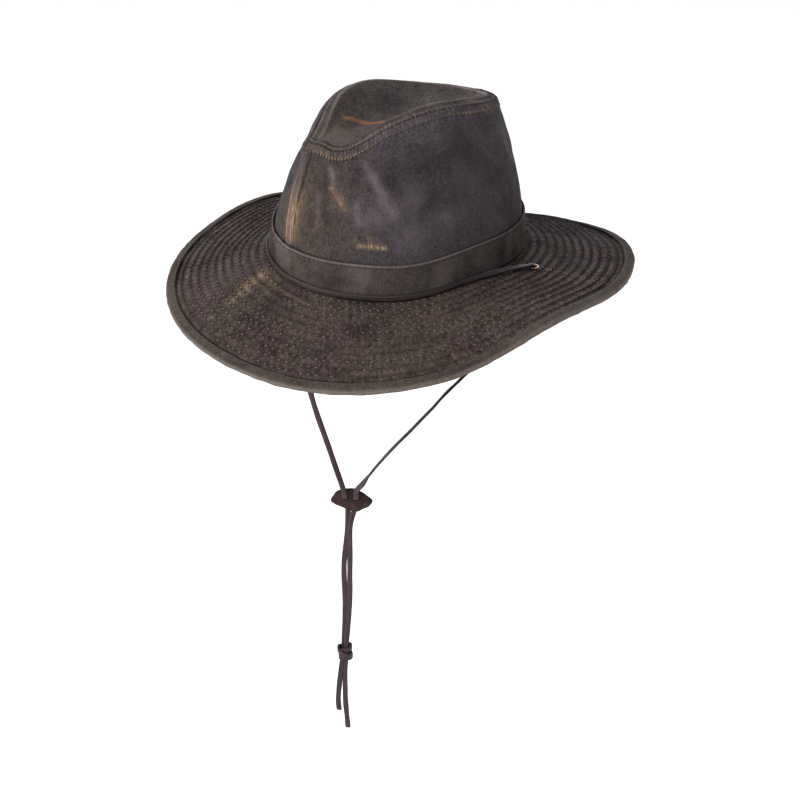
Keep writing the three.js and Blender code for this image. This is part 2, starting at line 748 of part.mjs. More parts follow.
const cloth = new THREE.MeshStandardMaterial({ color: 0x3a342f, roughness: 0.8, metalness: 0 });
const brimCloth = new THREE.MeshStandardMaterial({ color: 0x352c26, roughness: 0.85, metalness: 0 });
const bandCloth = new THREE.MeshStandardMaterial({ color: 0x34302a, roughness: 0.8, metalness: 0 });
const edgeCloth = new THREE.MeshStandardMaterial({ color: 0x2f2a20, roughness: 0.8, metalness: 0 });
const leather = new THREE.MeshStandardMaterial({ color: 0x33211b, roughness: 0.6, metalness: 0 });
const brass = new THREE.MeshStandardMaterial({ color: 0x9a6a42, roughness: 0.4, metalness: 1 });

const hat = new THREE.Group();
hat.name = 'bush_hat';

function add(name, geometry, material) {
  geometry.computeVertexNormals();
  const mesh = new THREE.Mesh(geometry, material);
  mesh.name = name;
  hat.add(mesh);
}

add('crown_side_left', crownSide(1), cloth);
add('crown_side_right', crownSide(-1), cloth);
add('crown_tip', crownTip(), cloth);
add('brim', brim(), brimCloth);
add('brim_binding', binding(), edgeCloth);
add('hat_band', hatBand(), bandCloth);
add('eyelet_left', eyelet(1), brass);
add('eyelet_right', eyelet(-1), brass);
add('crown_lace', crownLace(), leather);
add('cord_left', lace(strandStops(1)), leather);
add('cord_right', lace(strandStops(-1)), leather);
add('cord_slider', cordSlider(), leather);
add('cord_knot', cordKnot(), leather);

export default hat;
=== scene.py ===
"""A wide-brimmed cotton bush hat with a flat leather chin lace, held up as a head holds it.

Lengths are millimetres until a mesh is made, in metres. The hat's front faces -Y, its left
side +X. Angles run round it from the front, 0, over its left side, 90, to the back, 180.
"""
import math

import bmesh
import bpy
import numpy as np
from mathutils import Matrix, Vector


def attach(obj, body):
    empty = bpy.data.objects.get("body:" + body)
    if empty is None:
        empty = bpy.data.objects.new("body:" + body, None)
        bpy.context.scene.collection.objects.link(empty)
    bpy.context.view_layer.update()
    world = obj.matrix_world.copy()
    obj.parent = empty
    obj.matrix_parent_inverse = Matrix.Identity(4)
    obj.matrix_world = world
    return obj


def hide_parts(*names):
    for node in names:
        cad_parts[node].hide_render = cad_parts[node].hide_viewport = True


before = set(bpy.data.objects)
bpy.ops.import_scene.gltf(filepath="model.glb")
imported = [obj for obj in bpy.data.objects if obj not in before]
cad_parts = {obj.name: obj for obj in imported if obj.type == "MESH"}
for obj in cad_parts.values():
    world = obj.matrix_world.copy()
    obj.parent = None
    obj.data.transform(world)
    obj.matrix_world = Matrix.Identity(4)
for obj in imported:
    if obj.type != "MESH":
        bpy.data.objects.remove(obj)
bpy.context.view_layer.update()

MM = 0.001
UPRIGHT = np.array([0, 0, 1.0])

# Sizes shared with the CAD model.
CROWN_LENGTH = 195.0
CROWN_WIDTH = 159.0
CROWN_HEIGHT = 108.0
TIP_LENGTH = 152.0
TIP_WIDTH = 84.0
CLOTH = 1.6
RIDGE_RISE = 3.0
EDGE_SAG = 3.4
DENT_DEPTH = 20.0
DENT_REACH = 0.62
PINCH_DEPTH = 8.5
PINCH_ANGLE = 22.0
PINCH_SPREAD = 16.0
SEAM_WIDTH = 7.0
SEAM_EASE = 5.5
SEAM_RAISE = 0.7
BRIM_WIDTH = 80.5
BRIM_THICKNESS = 2.8
BREAK_RADIUS = 3.0
BINDING_WIDTH = 8.0
BINDING_THICKNESS = 0.8
BAND_HEIGHT = 24.0
BAND_THICKNESS = 1.4
BAND_FOOT = 0.6
LACE_WIDTH = 3.6
LACE_THICKNESS = 1.7
CHIN_LACE_WIDTH = 4.2
EYELET_ANGLE = 115.0
EYELET_OFFSET = 17.8
EYELET_HOLE = 4.6
EYELET_BARREL = 5.6
EYELET_FLANGE = 8.0
FLANGE_THICKNESS = 0.6
SLIDER_LENGTH = 32.0
SLIDER_WIDTH = 18.5
SLIDER_THICKNESS = 3.0
SLIDER_HOLE = 4.8
HOLE_SPACING = 8.8
HOLE_RISE = 1.5
SLIDER_TURN = 40.0
SLIDER_AT = (0.0, -47.4, -196.5)
KNOT_AT = (0.0, -56.7, -335.0)
GAP = 0.3

# Edge between the crown's side and its tip: angle, out, along, height, lean.
TIP_EDGE = np.array([
    (0, 0, -1, 0.843, 0.15),
    (12, 0.18, -0.965, 0.838, 0.2),
    (24, 0.34, -0.9, 0.808, 0.5),
    (33, 0.47, -0.79, 0.813, 0.66),
    (43, 0.62, -0.65, 0.866, 0.74),
    (53, 0.76, -0.52, 0.925, 0.66),
    (66, 0.92, -0.33, 0.978, 0.52),
    (84, 1, -0.05, 1, 0.42),
    (102, 0.99, 0.28, 0.985, 0.45),
    (124, 0.88, 0.6, 0.953, 0.52),
    (146, 0.65, 0.85, 0.918, 0.58),
    (163, 0.35, 0.99, 0.89, 0.55),
    (180, 0, 1.04, 0.88, 0.46),
])
# Floor of the dent along the middle: along, depth.
DENT_FLOOR = np.array([(-1, 0.9), (-0.5, 1), (-0.1, 1), (0.3, 0.9), (0.62, 0.75), (1, 0.7)])
# The brim round the hat: angle, fall in degrees, height of the break.
BRIM_FALL = np.array([
    (0, 24.1, -0.2),
    (30, 26.6, -4.6),
    (60, 17.8, -6.5),
    (90, 1.9, -1.7),
    (120, 4.6, -2.6),
    (150, 8.1, -3.2),
    (180, 18.5, -2.2),
    (210, 25, -2.2),
    (240, 17, -0.8),
    (270, 7.7, 1.1),
    (300, 15, 4.6),
    (330, 20.8, 4.4),
])
# One strand of the chin lace from under its eyelet to the slider: out, along, height.
STRAND_ROUTE = [
    (89.8, 46, -11), (90, 43, -22), (89.5, 36, -36), (87.5, 19, -50), (84, 3, -63),
    (80.5, -12, -75), (76.5, -23, -85), (72, -30, -95), (66, -35.5, -105), (60, -40.5, -115),
    (53, -44.5, -125), (45.5, -46.5, -135), (38, -47.6, -145), (30.5, -48.3, -155),
    (23.4, -48.9, -165), (16.7, -49.5, -175),
]
# Both strands from the slider down: along, height, aside, apart, before.
PAIR_ROUTE = [
    (-47.4, -186, 5.2, 0, 5), (-47.4, -193.4, 4.4, 0, 4.4), (-47.4, -194.8, 4.4, 0, 1.8),
    (-47.4, -195.2, 4.4, 0, -1.8), (-47.4, -196.8, 4.3, 0.2, -4.6), (-48.2, -203, 3.4, 0.6, -5),
    (-49.6, -211, 2.2, 1.1, -3.2), (-50.7, -219, 1.3, 1.3, -1.2), (-51.1, -229, 1.4, 1.3, 0),
    (-52, -241, 2.1, 1.3, 0), (-53, -255, 2.6, 1.3, 0), (-53.3, -270, 2.5, 1.3, 0),
    (-53.3, -285, 2.2, 1.3, 0), (-53.9, -300, 1.8, 1.3, 0), (-55.2, -315, 1.5, 1.3, 0),
    (-56, -325, 1.3, 1.3, 0), (-56.7, -335, 1.3, 1.3, 0), (-57.9, -345, 1.5, 1.3, 0),
    (-59.2, -355, 2, 1.3, 0), (-60.2, -369, 2.7, 1.3, 0), (-60.8, -383, 3.3, 1.3, 0),
]
LEFT_END = (-59, -410, 3.4, 1.3, 0)
RIGHT_END = (-60.6, -394, 3, 1.3, 0)

# Places where the cloth has worn to tan: x, y, z, how far the mark reaches along each, strength.
CROWN_PATCHES = [
    (4.5, -93, 46, 5, 6, 14, 0.6),
    (49, -66, 32, 9, 9, 5, 0.46),
    (42, -76, 33, 3, 6, 4, 0.42),
    (24, -73, 57, 6, 6, 9, 0.4),
    (-30, -52, 90, 9, 20, 10, 0.3),
    (60, 20, 60, 14, 20, 16, 0.12),
    (-66, 10, 70, 12, 26, 22, 0.3),
    (-20, 88, 50, 12, 12, 14, 0.3),
]
# Light, bluish patches of painted sheen, and painted highlights along the crests of folds.
CROWN_SHEEN_PATCHES = [
    (62, -42, 62, 8, 12, 12, 0.22),
    (72, -20, 46, 8, 14, 10, 0.2),
    (66, -44, 36, 8, 14, 8, 0.22),
    (46, -60, 46, 8, 10, 6, 0.22),
    (70, 10, 64, 8, 14, 12, 0.12),
    (-64, -30, 60, 10, 20, 14, 0.25),
]
CROWN_FOLD_HIGHLIGHTS = [
    (30, -57, 82, 37, -54, 72, 2.2, 0.38),
    (37, -54, 72, 45, -53, 62, 3.4, 0.42),
    (45, -53, 62, 54, -51, 50, 4.5, 0.36),
    (15, -72, 76, 17, -71, 64, 2.4, 0.4),
    (13, -80, 60, 15, -84, 50, 2.4, 0.33),
    (36, -68, 54, 41, -68, 44, 3.2, 0.36),
]
BRIM_PATCHES = [
    (107, -20, -6, 12, 14, 8, 0.3),
    (92, -44, -9, 12, 12, 8, 0.35),
    (36, -106, -9, 12, 10, 9, 0.3),
    (30, -128, -20, 10, 8, 9, 0.3),
    (-19, -151, -21, 4, 3, 5, 0.8),
    (-100, 60, -10, 18, 10, 9, 0.3),
    (-30, 130, -20, 16, 12, 12, 0.3),
]
# Worn lines: from x, y, z to x, y, z, half width, strength.
CROWN_LINES = [
    (43.4, -72, 29.6, 55.6, -58.9, 28.5, 2.0, 1.15),
    (41, -73, 35, 43, -72, 30, 2.0, 0.6),
    (47, -68, 38, 49, -66, 30, 3.0, 0.8),
    (52, -63, 35, 54, -61, 29, 2.2, 0.6),
    (17, -84, 49, 19.5, -88, 37, 2.2, 0.85),
    (21, -84, 43, 23, -86, 34, 1.8, 0.65),
    (16, -72, 72, 18.3, -73.5, 62, 2.2, 0.65),
    (18.3, -73.5, 63, 24.3, -71.6, 56.2, 3.2, 1.0),
    (24.3, -71.6, 56.2, 29.1, -71.2, 51, 3.0, 0.95),
    (19, -75, 57, 23, -75, 48, 2.6, 0.7),
]
BRIM_LINES = [
    (-28, -101, 0.5, -16.2, -105.6, -1.6, 2.0, 0.6),
    (-16.2, -105.6, -1.6, -3.6, -108, -3.4, 2.0, 0.75),
    (-3.6, -108, -3.4, 10.3, -108.2, -5.3, 1.8, 0.6),
    (10.3, -108.2, -5.3, 32.2, -103.8, -8.6, 1.4, 0.65),
    (32.2, -103.8, -8.6, 58.7, -83.2, -9.7, 0.9, 0.5),
    (58.7, -83.2, -9.7, 76, -68, -11.2, 0.8, 0.45),
    (-21.3, -107, -2.2, -18.8, -122.5, -8.9, 7.0, 1.0),
    (-18.8, -122.5, -8.9, -20.4, -133, -12.5, 6.0, 0.85),
    (-2, -113, -5, 1, -124, -10, 3.0, 0.5),
    (88, 52.5, -3.7, 107, 60.5, -5.3, 2.2, 1.2),
    (107, 60.5, -5.3, 119, 66.2, -6.3, 2.4, 1.4),
    (119, 66.2, -6.3, 130, 71.5, -7.3, 2.2, 1.2),
]
# The rust streak in the dent, and rust on the tip seam.
RUST_LINES = [
    (-19.5, -32.1, 94.2, -19, -26.5, 92.2, 1.3, 1.0),
    (-19, -26.5, 92.2, -16.3, -19.8, 90.4, 1.8, 1.1),
    (-16.3, -19.8, 90.4, -13.8, -13, 88.9, 2.2, 1.2),
    (-13.8, -13, 88.9, -11, -4.5, 88.1, 2.0, 1.1),
    (36.7, 29, 106.4, 36.4, 34, 105.5, 1.4, 0.8),
]

# Stitching.
BRIM_ROW_FIRST = 4.6
BRIM_ROW_PITCH = 6.35
BRIM_ROWS = 11
BRIM_STITCH = 5.3


# Small helpers


def level(value):
    """A value kept from 0 to 1."""
    return np.clip(value, 0, 1)


def ease(value):
    """A value kept from 0 to 1, with a smooth start and end."""
    t = level(value)
    return t * t * (3 - 2 * t)


def bell(distance, width):
    """1 where the distance is 0, falling off smoothly to both sides."""
    return np.exp(-((distance / width) ** 2))


def unit(v):
    return v / np.maximum(np.linalg.norm(v, axis=-1, keepdims=True), 1e-12)


def run_along(points):
    """How far along their line each point lies."""
    return np.concatenate([[0], np.cumsum(np.linalg.norm(np.diff(points, axis=0), axis=1))])


def closed_run(points):
    """The same round a closed line, with its whole length last."""
    return run_along(np.concatenate([points, points[:1]]))


def compass(points):
    """The angle round the hat at which points lie, from -180 to 180."""
    return np.degrees(np.arctan2(points[:, 0], -points[:, 1]))


def blend(a, b, share):
    return a * (1 - share) + b * share


def joined(a, b):
    """Pairs of two values, each as wide as the two together."""
    return np.stack(np.broadcast_arrays(a, b), -1)


# Form of the hat


def smooth(table, column, at):
    """Smooth value of one column of a table at places along its first column."""
    keys, values = table[:, 0], table[:, column]
    slope = np.empty_like(values)
    slope[1:-1] = (values[2:] - values[:-2]) / (keys[2:] - keys[:-2])
    slope[0] = (values[1] - values[0]) / (keys[1] - keys[0])
    slope[-1] = (values[-1] - values[-2]) / (keys[-1] - keys[-2])
    i = np.clip(np.searchsorted(keys, at, side="right") - 1, 0, len(keys) - 2)
    span = keys[i + 1] - keys[i]
    t = level((at - keys[i]) / span)
    t2, t3 = t * t, t * t * t
    return (
        (2 * t3 - 3 * t2 + 1) * values[i] + (t3 - 2 * t2 + t) * span * slope[i]
        + (3 * t2 - 2 * t3) * values[i + 1] + (t3 - t2) * span * slope[i + 1]
    )


def smooth_round(table, column, angle):
    """The same for a table whose first column runs once round the hat."""
    turn = np.array([360.0] + [0.0] * (table.shape[1] - 1))
    ring = np.vstack([table[-2:] - turn, table, table[:2] + turn])
    return smooth(ring, column, np.mod(angle, 360))


def break_line(angle):
    """The brim break: place in plan, outward direction there, and height."""
    a = np.radians(angle)
    x = CROWN_WIDTH / 2 * np.sin(a)
    y = -CROWN_LENGTH / 2 * np.cos(a)
    nx, ny = x / (CROWN_WIDTH / 2) ** 2, y / (CROWN_LENGTH / 2) ** 2
    size = np.hypot(nx, ny)
    return x, y, nx / size, ny / size, smooth_round(BRIM_FALL, 2, angle)


def edge_line(angle):
    """The edge between the crown's side and tip: side, place round one side, x, y, z, lean."""
    turn = np.mod(angle, 360)
    side = np.where(turn > 180, -1.0, 1.0)
    at = np.where(turn > 180, 360 - turn, turn)
    x = side * TIP_WIDTH / 2 * np.maximum(smooth(TIP_EDGE, 1, at), 0)
    y = TIP_LENGTH / 2 * smooth(TIP_EDGE, 2, at)
    sagging = np.where(side < 0, np.sin(math.pi * level((at - 80) / 100)) ** 2, 0)
    z = CROWN_HEIGHT * smooth(TIP_EDGE, 3, at) - EDGE_SAG * sagging
    return at, x, y, z, smooth(TIP_EDGE, 4, at)


def wall(angle, share):
    """Outside of the crown's side; share runs from the brim break up to the edge."""
    fx, fy, nx, ny, fz = break_line(angle)
    at, ex, ey, ez, even = edge_line(angle)
    lean = even * share ** 1.3 + (1 - even) * share ** 3.5
    pinch = PINCH_DEPTH * bell(at - PINCH_ANGLE, PINCH_SPREAD) * np.sin(math.pi * share ** 2.2) ** 2
    return np.stack([
        fx + (ex - fx) * lean - nx * pinch,
        fy + (ey - fy) * lean - ny * pinch,
        fz + (ez - fz) * share,
    ], -1)


def tip(angle, share):
    """Outside of the tip; share runs from the edge in to the floor of the dent."""
    at, ex, ey, ez, _ = edge_line(angle)
    end = ey * DENT_REACH
    floor = CROWN_HEIGHT - DENT_DEPTH * smooth(DENT_FLOOR, 1, end / (TIP_LENGTH / 2))
    front = bell(at, 34)
    rise = RIDGE_RISE * (1 - 0.85 * front) * np.sin(math.pi * np.minimum(share / 0.36, 1)) ** 2
    fall = ease((share - 0.15) / 0.49)
    return np.stack([
        ex * (1 - share),
        ey + (end - ey) * share,
        ez + rise + (floor - ez) * fall,
    ], -1)


def brim_point(angle, across, lift):
    """Point of the brim: across from the break outward, above its top surface by lift."""
    fx, fy, nx, ny, fz = break_line(angle)
    fall = np.radians(smooth_round(BRIM_FALL, 1, angle))
    run = np.maximum(across, 0)
    share = 1 - np.exp(-run / BREAK_RADIUS)
    drop = run - BREAK_RADIUS * share
    bend = fall * share
    out = np.where(across > 0, across * np.cos(fall), across) + lift * np.sin(bend)
    return np.stack([
        fx + nx * out,
        fy + ny * out,
        fz - drop * np.sin(fall) + lift * np.cos(bend),
    ], -1)


def beside_wall(angle, height, distance):
    """Outside of the crown's side at a height above the break, moved out by a distance."""
    foot = break_line(angle)[4]
    share = height / (edge_line(angle)[3] - foot)
    p = wall(angle, share)
    near = ease((SEAM_WIDTH / 2 + SEAM_EASE - np.abs(p[..., 0])) / SEAM_EASE)
    beside = wall(angle + 1, share) - wall(angle - 1, share)
    up = wall(angle, share + 0.02) - p
    normal = unit(np.cross(beside, up))
    return p + normal * (distance + SEAM_RAISE * near)[..., None]


def grid_normals(grid):
    """Outward directions of a grid of points (rows, columns) that is closed round its columns."""
    beside = np.roll(grid, -1, 1) - np.roll(grid, 1, 1)
    up = np.gradient(grid, axis=0)
    return unit(np.cross(beside, up))


def swell(points, seed, size, count=14):
    """A smooth wandering value from about -1 to 1 over points, with waves of about that size."""
    draw = np.random.default_rng(seed)
    total = np.zeros(points.shape[:-1])
    for _ in range(count):
        way = draw.normal(size=3)
        way *= 2 * math.pi / (size * draw.uniform(0.7, 1.6) * np.linalg.norm(way))
        total += np.sin(points @ way + draw.uniform(0, 2 * math.pi))
    return total / math.sqrt(count)


def marks(points, table):
    """How strongly the marks of a table show at points, 0 to 1."""
    total = np.zeros(points.shape[:-1])
    for x, y, z, rx, ry, rz, strength in table:
        away = (points - (x, y, z)) / (rx, ry, rz)
        total = np.maximum(total, strength * np.exp(-(away ** 2).sum(-1)))
    return total


def lines(points, table):
    """How strongly the lines of a table show at points, 0 to 1."""
    total = np.zeros(points.shape[:-1])
    for row in table:
        start, end = np.array(row[:3]), np.array(row[3:6])
        way = end - start
        share = level(((points - start) @ way) / (way @ way))
        away = np.linalg.norm(points - start - share[..., None] * way, axis=-1)
        total = np.maximum(total, row[7] * bell(away, row[6]))
    return total


# Meshes


def finish_piece(piece, slot, *nodes):
    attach(piece, "root")
    if nodes:
        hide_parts(*nodes)
    return piece


def new_piece(name, mesh, material):
    piece = bpy.data.objects.new(name, mesh)
    bpy.context.scene.collection.objects.link(piece)
    mesh.materials.append(material)
    return piece


def add_values(mesh, **values):
    """Give the points of a mesh named numbers."""
    for key, value in values.items():
        layer = mesh.attributes.new(key, "FLOAT", "POINT")
        layer.data.foreach_set("value", value.astype(np.float32).ravel())


def add_track(mesh, domain, vectors):
    layer = mesh.attributes.new("track", "FLOAT_VECTOR", domain)
    layer.data.foreach_set("vector", vectors.astype(np.float32).ravel())


def shade_smooth(mesh):
    mesh.polygons.foreach_set("use_smooth", np.ones(len(mesh.polygons), bool))


def mend(mesh, weld=0.0, triangles=False):
    """Join points closer than weld, and turn every face outward."""
    work = bmesh.new()
    work.from_mesh(mesh)
    if weld:
        bmesh.ops.remove_doubles(work, verts=work.verts, dist=weld)
    if triangles:
        bmesh.ops.triangulate(work, faces=work.faces)
    bmesh.ops.recalc_face_normals(work, faces=work.faces)
    work.to_mesh(mesh)
    work.free()


def loop_mesh(name, loop, material, track=None, weld=0.0, round_it=True, **values):
    """A closed skin from section points (section, column, 3), closed along the section.

    track gives each corner its place along and across the cloth, with one column more than
    the points when the columns close round; values are named numbers for each point.
    """
    rows, columns = loop.shape[:2]
    last = columns if round_it else columns - 1
    i, j = np.meshgrid(np.arange(rows), np.arange(last), indexing="ij")
    i, j = i.ravel(), j.ravel()
    i2, j2 = (i + 1) % rows, (j + 1) % columns
    quads = np.stack([i * columns + j, i * columns + j2, i2 * columns + j2, i2 * columns + j], 1)
    faces = quads.tolist()
    if not round_it:
        first = [r * columns for r in range(rows)]
        end = [r * columns + columns - 1 for r in range(rows)]
        faces += [first, end[::-1]]
    mesh = bpy.data.meshes.new(name)
    mesh.from_pydata((loop.reshape(-1, 3) * MM).tolist(), [], faces)
    shade_smooth(mesh)
    add_values(mesh, **values)
    if track is not None:
        corners = np.stack([track[i, j], track[i, j + 1], track[i2, j + 1], track[i2, j]], 1)
        corners = corners.reshape(-1, 2)
        if not round_it:
            corners = np.concatenate([corners, track[:, 0], track[::-1, -1]])
        add_track(mesh, "CORNER", np.concatenate([corners, np.zeros((len(corners), 1))], 1))
    mend(mesh, weld)
    mesh.update()
    return new_piece(name, mesh, material)


def resampled(points, normals, spacing, closed):
    """Evenly spaced places along a line of points, with the direction out of the cloth."""
    if closed:
        points = np.concatenate([points, points[:1]])
        normals = np.concatenate([normals, normals[:1]])
    run = run_along(points)
    count = max(int(round(run[-1] / spacing)), 2)
    at = np.linspace(0, run[-1], count + 1)

    def take(v):
        return np.stack([np.interp(at, run, v[:, k]) for k in range(3)], 1)

    return take(points), unit(take(normals))


def stitch_mesh(name, rows, material, thread, reach=0.8, slant=0.0):
    """Raised stitches; each row is (points, outward directions, closed, pitch, wear function)."""
    sides = 6
    stations = np.array([-0.5, -0.36, 0, 0.36, 0.5])
    fat = np.array([0.35, 0.86, 1.0, 0.86, 0.35])
    rise = np.array([-0.55, 0.05, 0.28, 0.05, -0.55])
    turn = np.linspace(0, 2 * math.pi, sides, endpoint=False)
    blocks, wears = [], []
    draw = np.random.default_rng(7)
    for points, normals, closed, pitch, wear in rows:
        p, n = resampled(points, normals, pitch, closed)
        start, end = p[:-1], p[1:]
        up = unit(n[:-1] + n[1:])
        along = unit(end - start)
        aside = np.cross(along, up)
        middle = (start + end) / 2
        length = np.linalg.norm(end - start, axis=1)[:, None] * reach
        length = length * draw.uniform(0.9, 1.06, length.shape)
        lean = slant + draw.normal(0, 0.06, (len(start), 1))
        along = along * np.cos(lean) + aside * np.sin(lean)
        aside = np.cross(along, up)
        size = thread * draw.uniform(0.9, 1.1, (len(start), 1))
        rings = []
        for s, f, r in zip(stations, fat, rise):
            centre = middle + along * length * s + up * size * r
            ring = centre[:, None] + (
                aside[:, None] * np.cos(turn)[None, :, None]
                + up[:, None] * np.sin(turn)[None, :, None] * 0.8
            ) * (size * f)[:, None]
            rings.append(ring)
        blocks.append(np.stack(rings, 1))
        wears.append(wear(middle))
    block = np.concatenate(blocks)
    count, stations_n = len(block), len(stations)
    base = (np.arange(count) * stations_n * sides)[:, None, None]
    a = (np.arange(stations_n - 1) * sides)[None, :, None]
    k = np.arange(sides)[None, None, :]
    k2 = (k + 1) % sides
    quads = np.stack(np.broadcast_arrays(base + a + k, base + a + k2, base + a + sides + k2,
                                         base + a + sides + k), -1).reshape(-1, 4)
    ends = np.arange(sides)
    first = base[:, 0] + ends[::-1][None]
    final = base[:, 0] + (stations_n - 1) * sides + ends[None]
    faces = quads.tolist() + first.tolist() + final.tolist()
    mesh = bpy.data.meshes.new(name)
    mesh.from_pydata((block.reshape(-1, 3) * MM).tolist(), [], faces)
    shade_smooth(mesh)
    add_values(mesh, wear=np.repeat(np.concatenate(wears), stations_n * sides))
    return new_piece(name, mesh, material)


# Materials


class Shader:
    """A material and the few kinds of node that it is made of."""

    def __init__(self, name):
        self.material = bpy.data.materials.new(name)
        self.material.use_nodes = True
        self.nodes = self.material.node_tree.nodes
        self.links = self.material.node_tree.links
        self.surface = self.nodes["Principled BSDF"]
        self.place = self.nodes.new("ShaderNodeTexCoord").outputs["Object"]

    def feed(self, socket, value):
        if isinstance(value, bpy.types.NodeSocket):
            self.links.new(value, socket)
        elif value is not None:
            socket.default_value = value

    def attribute(self, name, output="Fac"):
        node = self.nodes.new("ShaderNodeAttribute")
        node.attribute_name = name
        return node.outputs[output]

    def math(self, operation, a, b=None):
        node = self.nodes.new("ShaderNodeMath")
        node.operation = operation
        self.feed(node.inputs[0], a)
        self.feed(node.inputs[1], b)
        return node.outputs[0]

    def times(self, a, b):
        return self.math("MULTIPLY", a, b)

    def plus(self, a, b):
        return self.math("ADD", a, b)

    def noise(self, scale, detail=3.0, rough=0.5, at=None, distortion=0.0):
        node = self.nodes.new("ShaderNodeTexNoise")
        self.feed(node.inputs["Vector"], at or self.place)
        node.inputs["Scale"].default_value = scale
        node.inputs["Detail"].default_value = detail
        node.inputs["Roughness"].default_value = rough
        node.inputs["Distortion"].default_value = distortion
        return node.outputs["Fac"]

    def stretched(self, vector, scale):
        node = self.nodes.new("ShaderNodeMapping")
        self.feed(node.inputs["Vector"], vector)
        node.inputs["Scale"].default_value = scale
        return node.outputs["Vector"]

    def remap(self, value, low, high, to_low=0.0, to_high=1.0):
        node = self.nodes.new("ShaderNodeMapRange")
        node.clamp = True
        node.interpolation_type = "SMOOTHSTEP"
        self.feed(node.inputs["Value"], value)
        for key, number in zip(("From Min", "From Max", "To Min", "To Max"),
                               (low, high, to_low, to_high)):
            node.inputs[key].default_value = number
        return node.outputs["Result"]

    def mix(self, share, a, b, kind="MIX"):
        node = self.nodes.new("ShaderNodeMix")
        node.data_type = "RGBA"
        node.blend_type = kind
        self.feed(node.inputs["Factor"], share)
        for key, value in (("A", a), ("B", b)):
            socket = next(s for s in node.inputs if s.name == key and s.type == "RGBA")
            self.feed(socket, (*value, 1) if isinstance(value, tuple) else value)
        return next(s for s in node.outputs if s.type == "RGBA")

    def bump(self, height, distance, strength=1.0, under=None):
        node = self.nodes.new("ShaderNodeBump")
        node.inputs["Strength"].default_value = strength
        node.inputs["Distance"].default_value = distance
        self.feed(node.inputs["Height"], height)
        self.feed(node.inputs["Normal"], under)
        return node.outputs["Normal"]

    def weave(self, vector, pitch):
        """Height of a plain weave with threads a pitch apart along x and y of a vector."""
        split = self.nodes.new("ShaderNodeSeparateXYZ")
        self.feed(split.inputs[0], vector)
        waves = [self.math("SINE", self.times(split.outputs[axis], math.pi / pitch)) for axis in "XY"]
        return self.math("ABSOLUTE", self.times(*waves))

    def set(self, **values):
        names = {
            "colour": "Base Color", "rough": "Roughness", "normal": "Normal",
            "metal": "Metallic", "sheen": "Sheen Weight", "sheen_rough": "Sheen Roughness",
            "sheen_tint": "Sheen Tint", "coat": "Coat Weight", "coat_rough": "Coat Roughness",
            "specular": "Specular IOR Level",
        }
        for key, value in values.items():
            if isinstance(value, tuple):
                value = (*value, 1)
            self.feed(self.surface.inputs[names[key]], value)
        return self.material


WEAVE_PITCH = 0.95
WORN_TAN = (0.255, 0.175, 0.107)
RUST = (0.30, 0.15, 0.075)
# Near black of the painted shade in the gaps of the weave and on threads that lie deep.
PAINTED_SHADE = (0.010, 0.008, 0.008)


def shades(colour, factor):
    """A colour made brighter or darker."""
    return tuple(factor * c for c in colour)


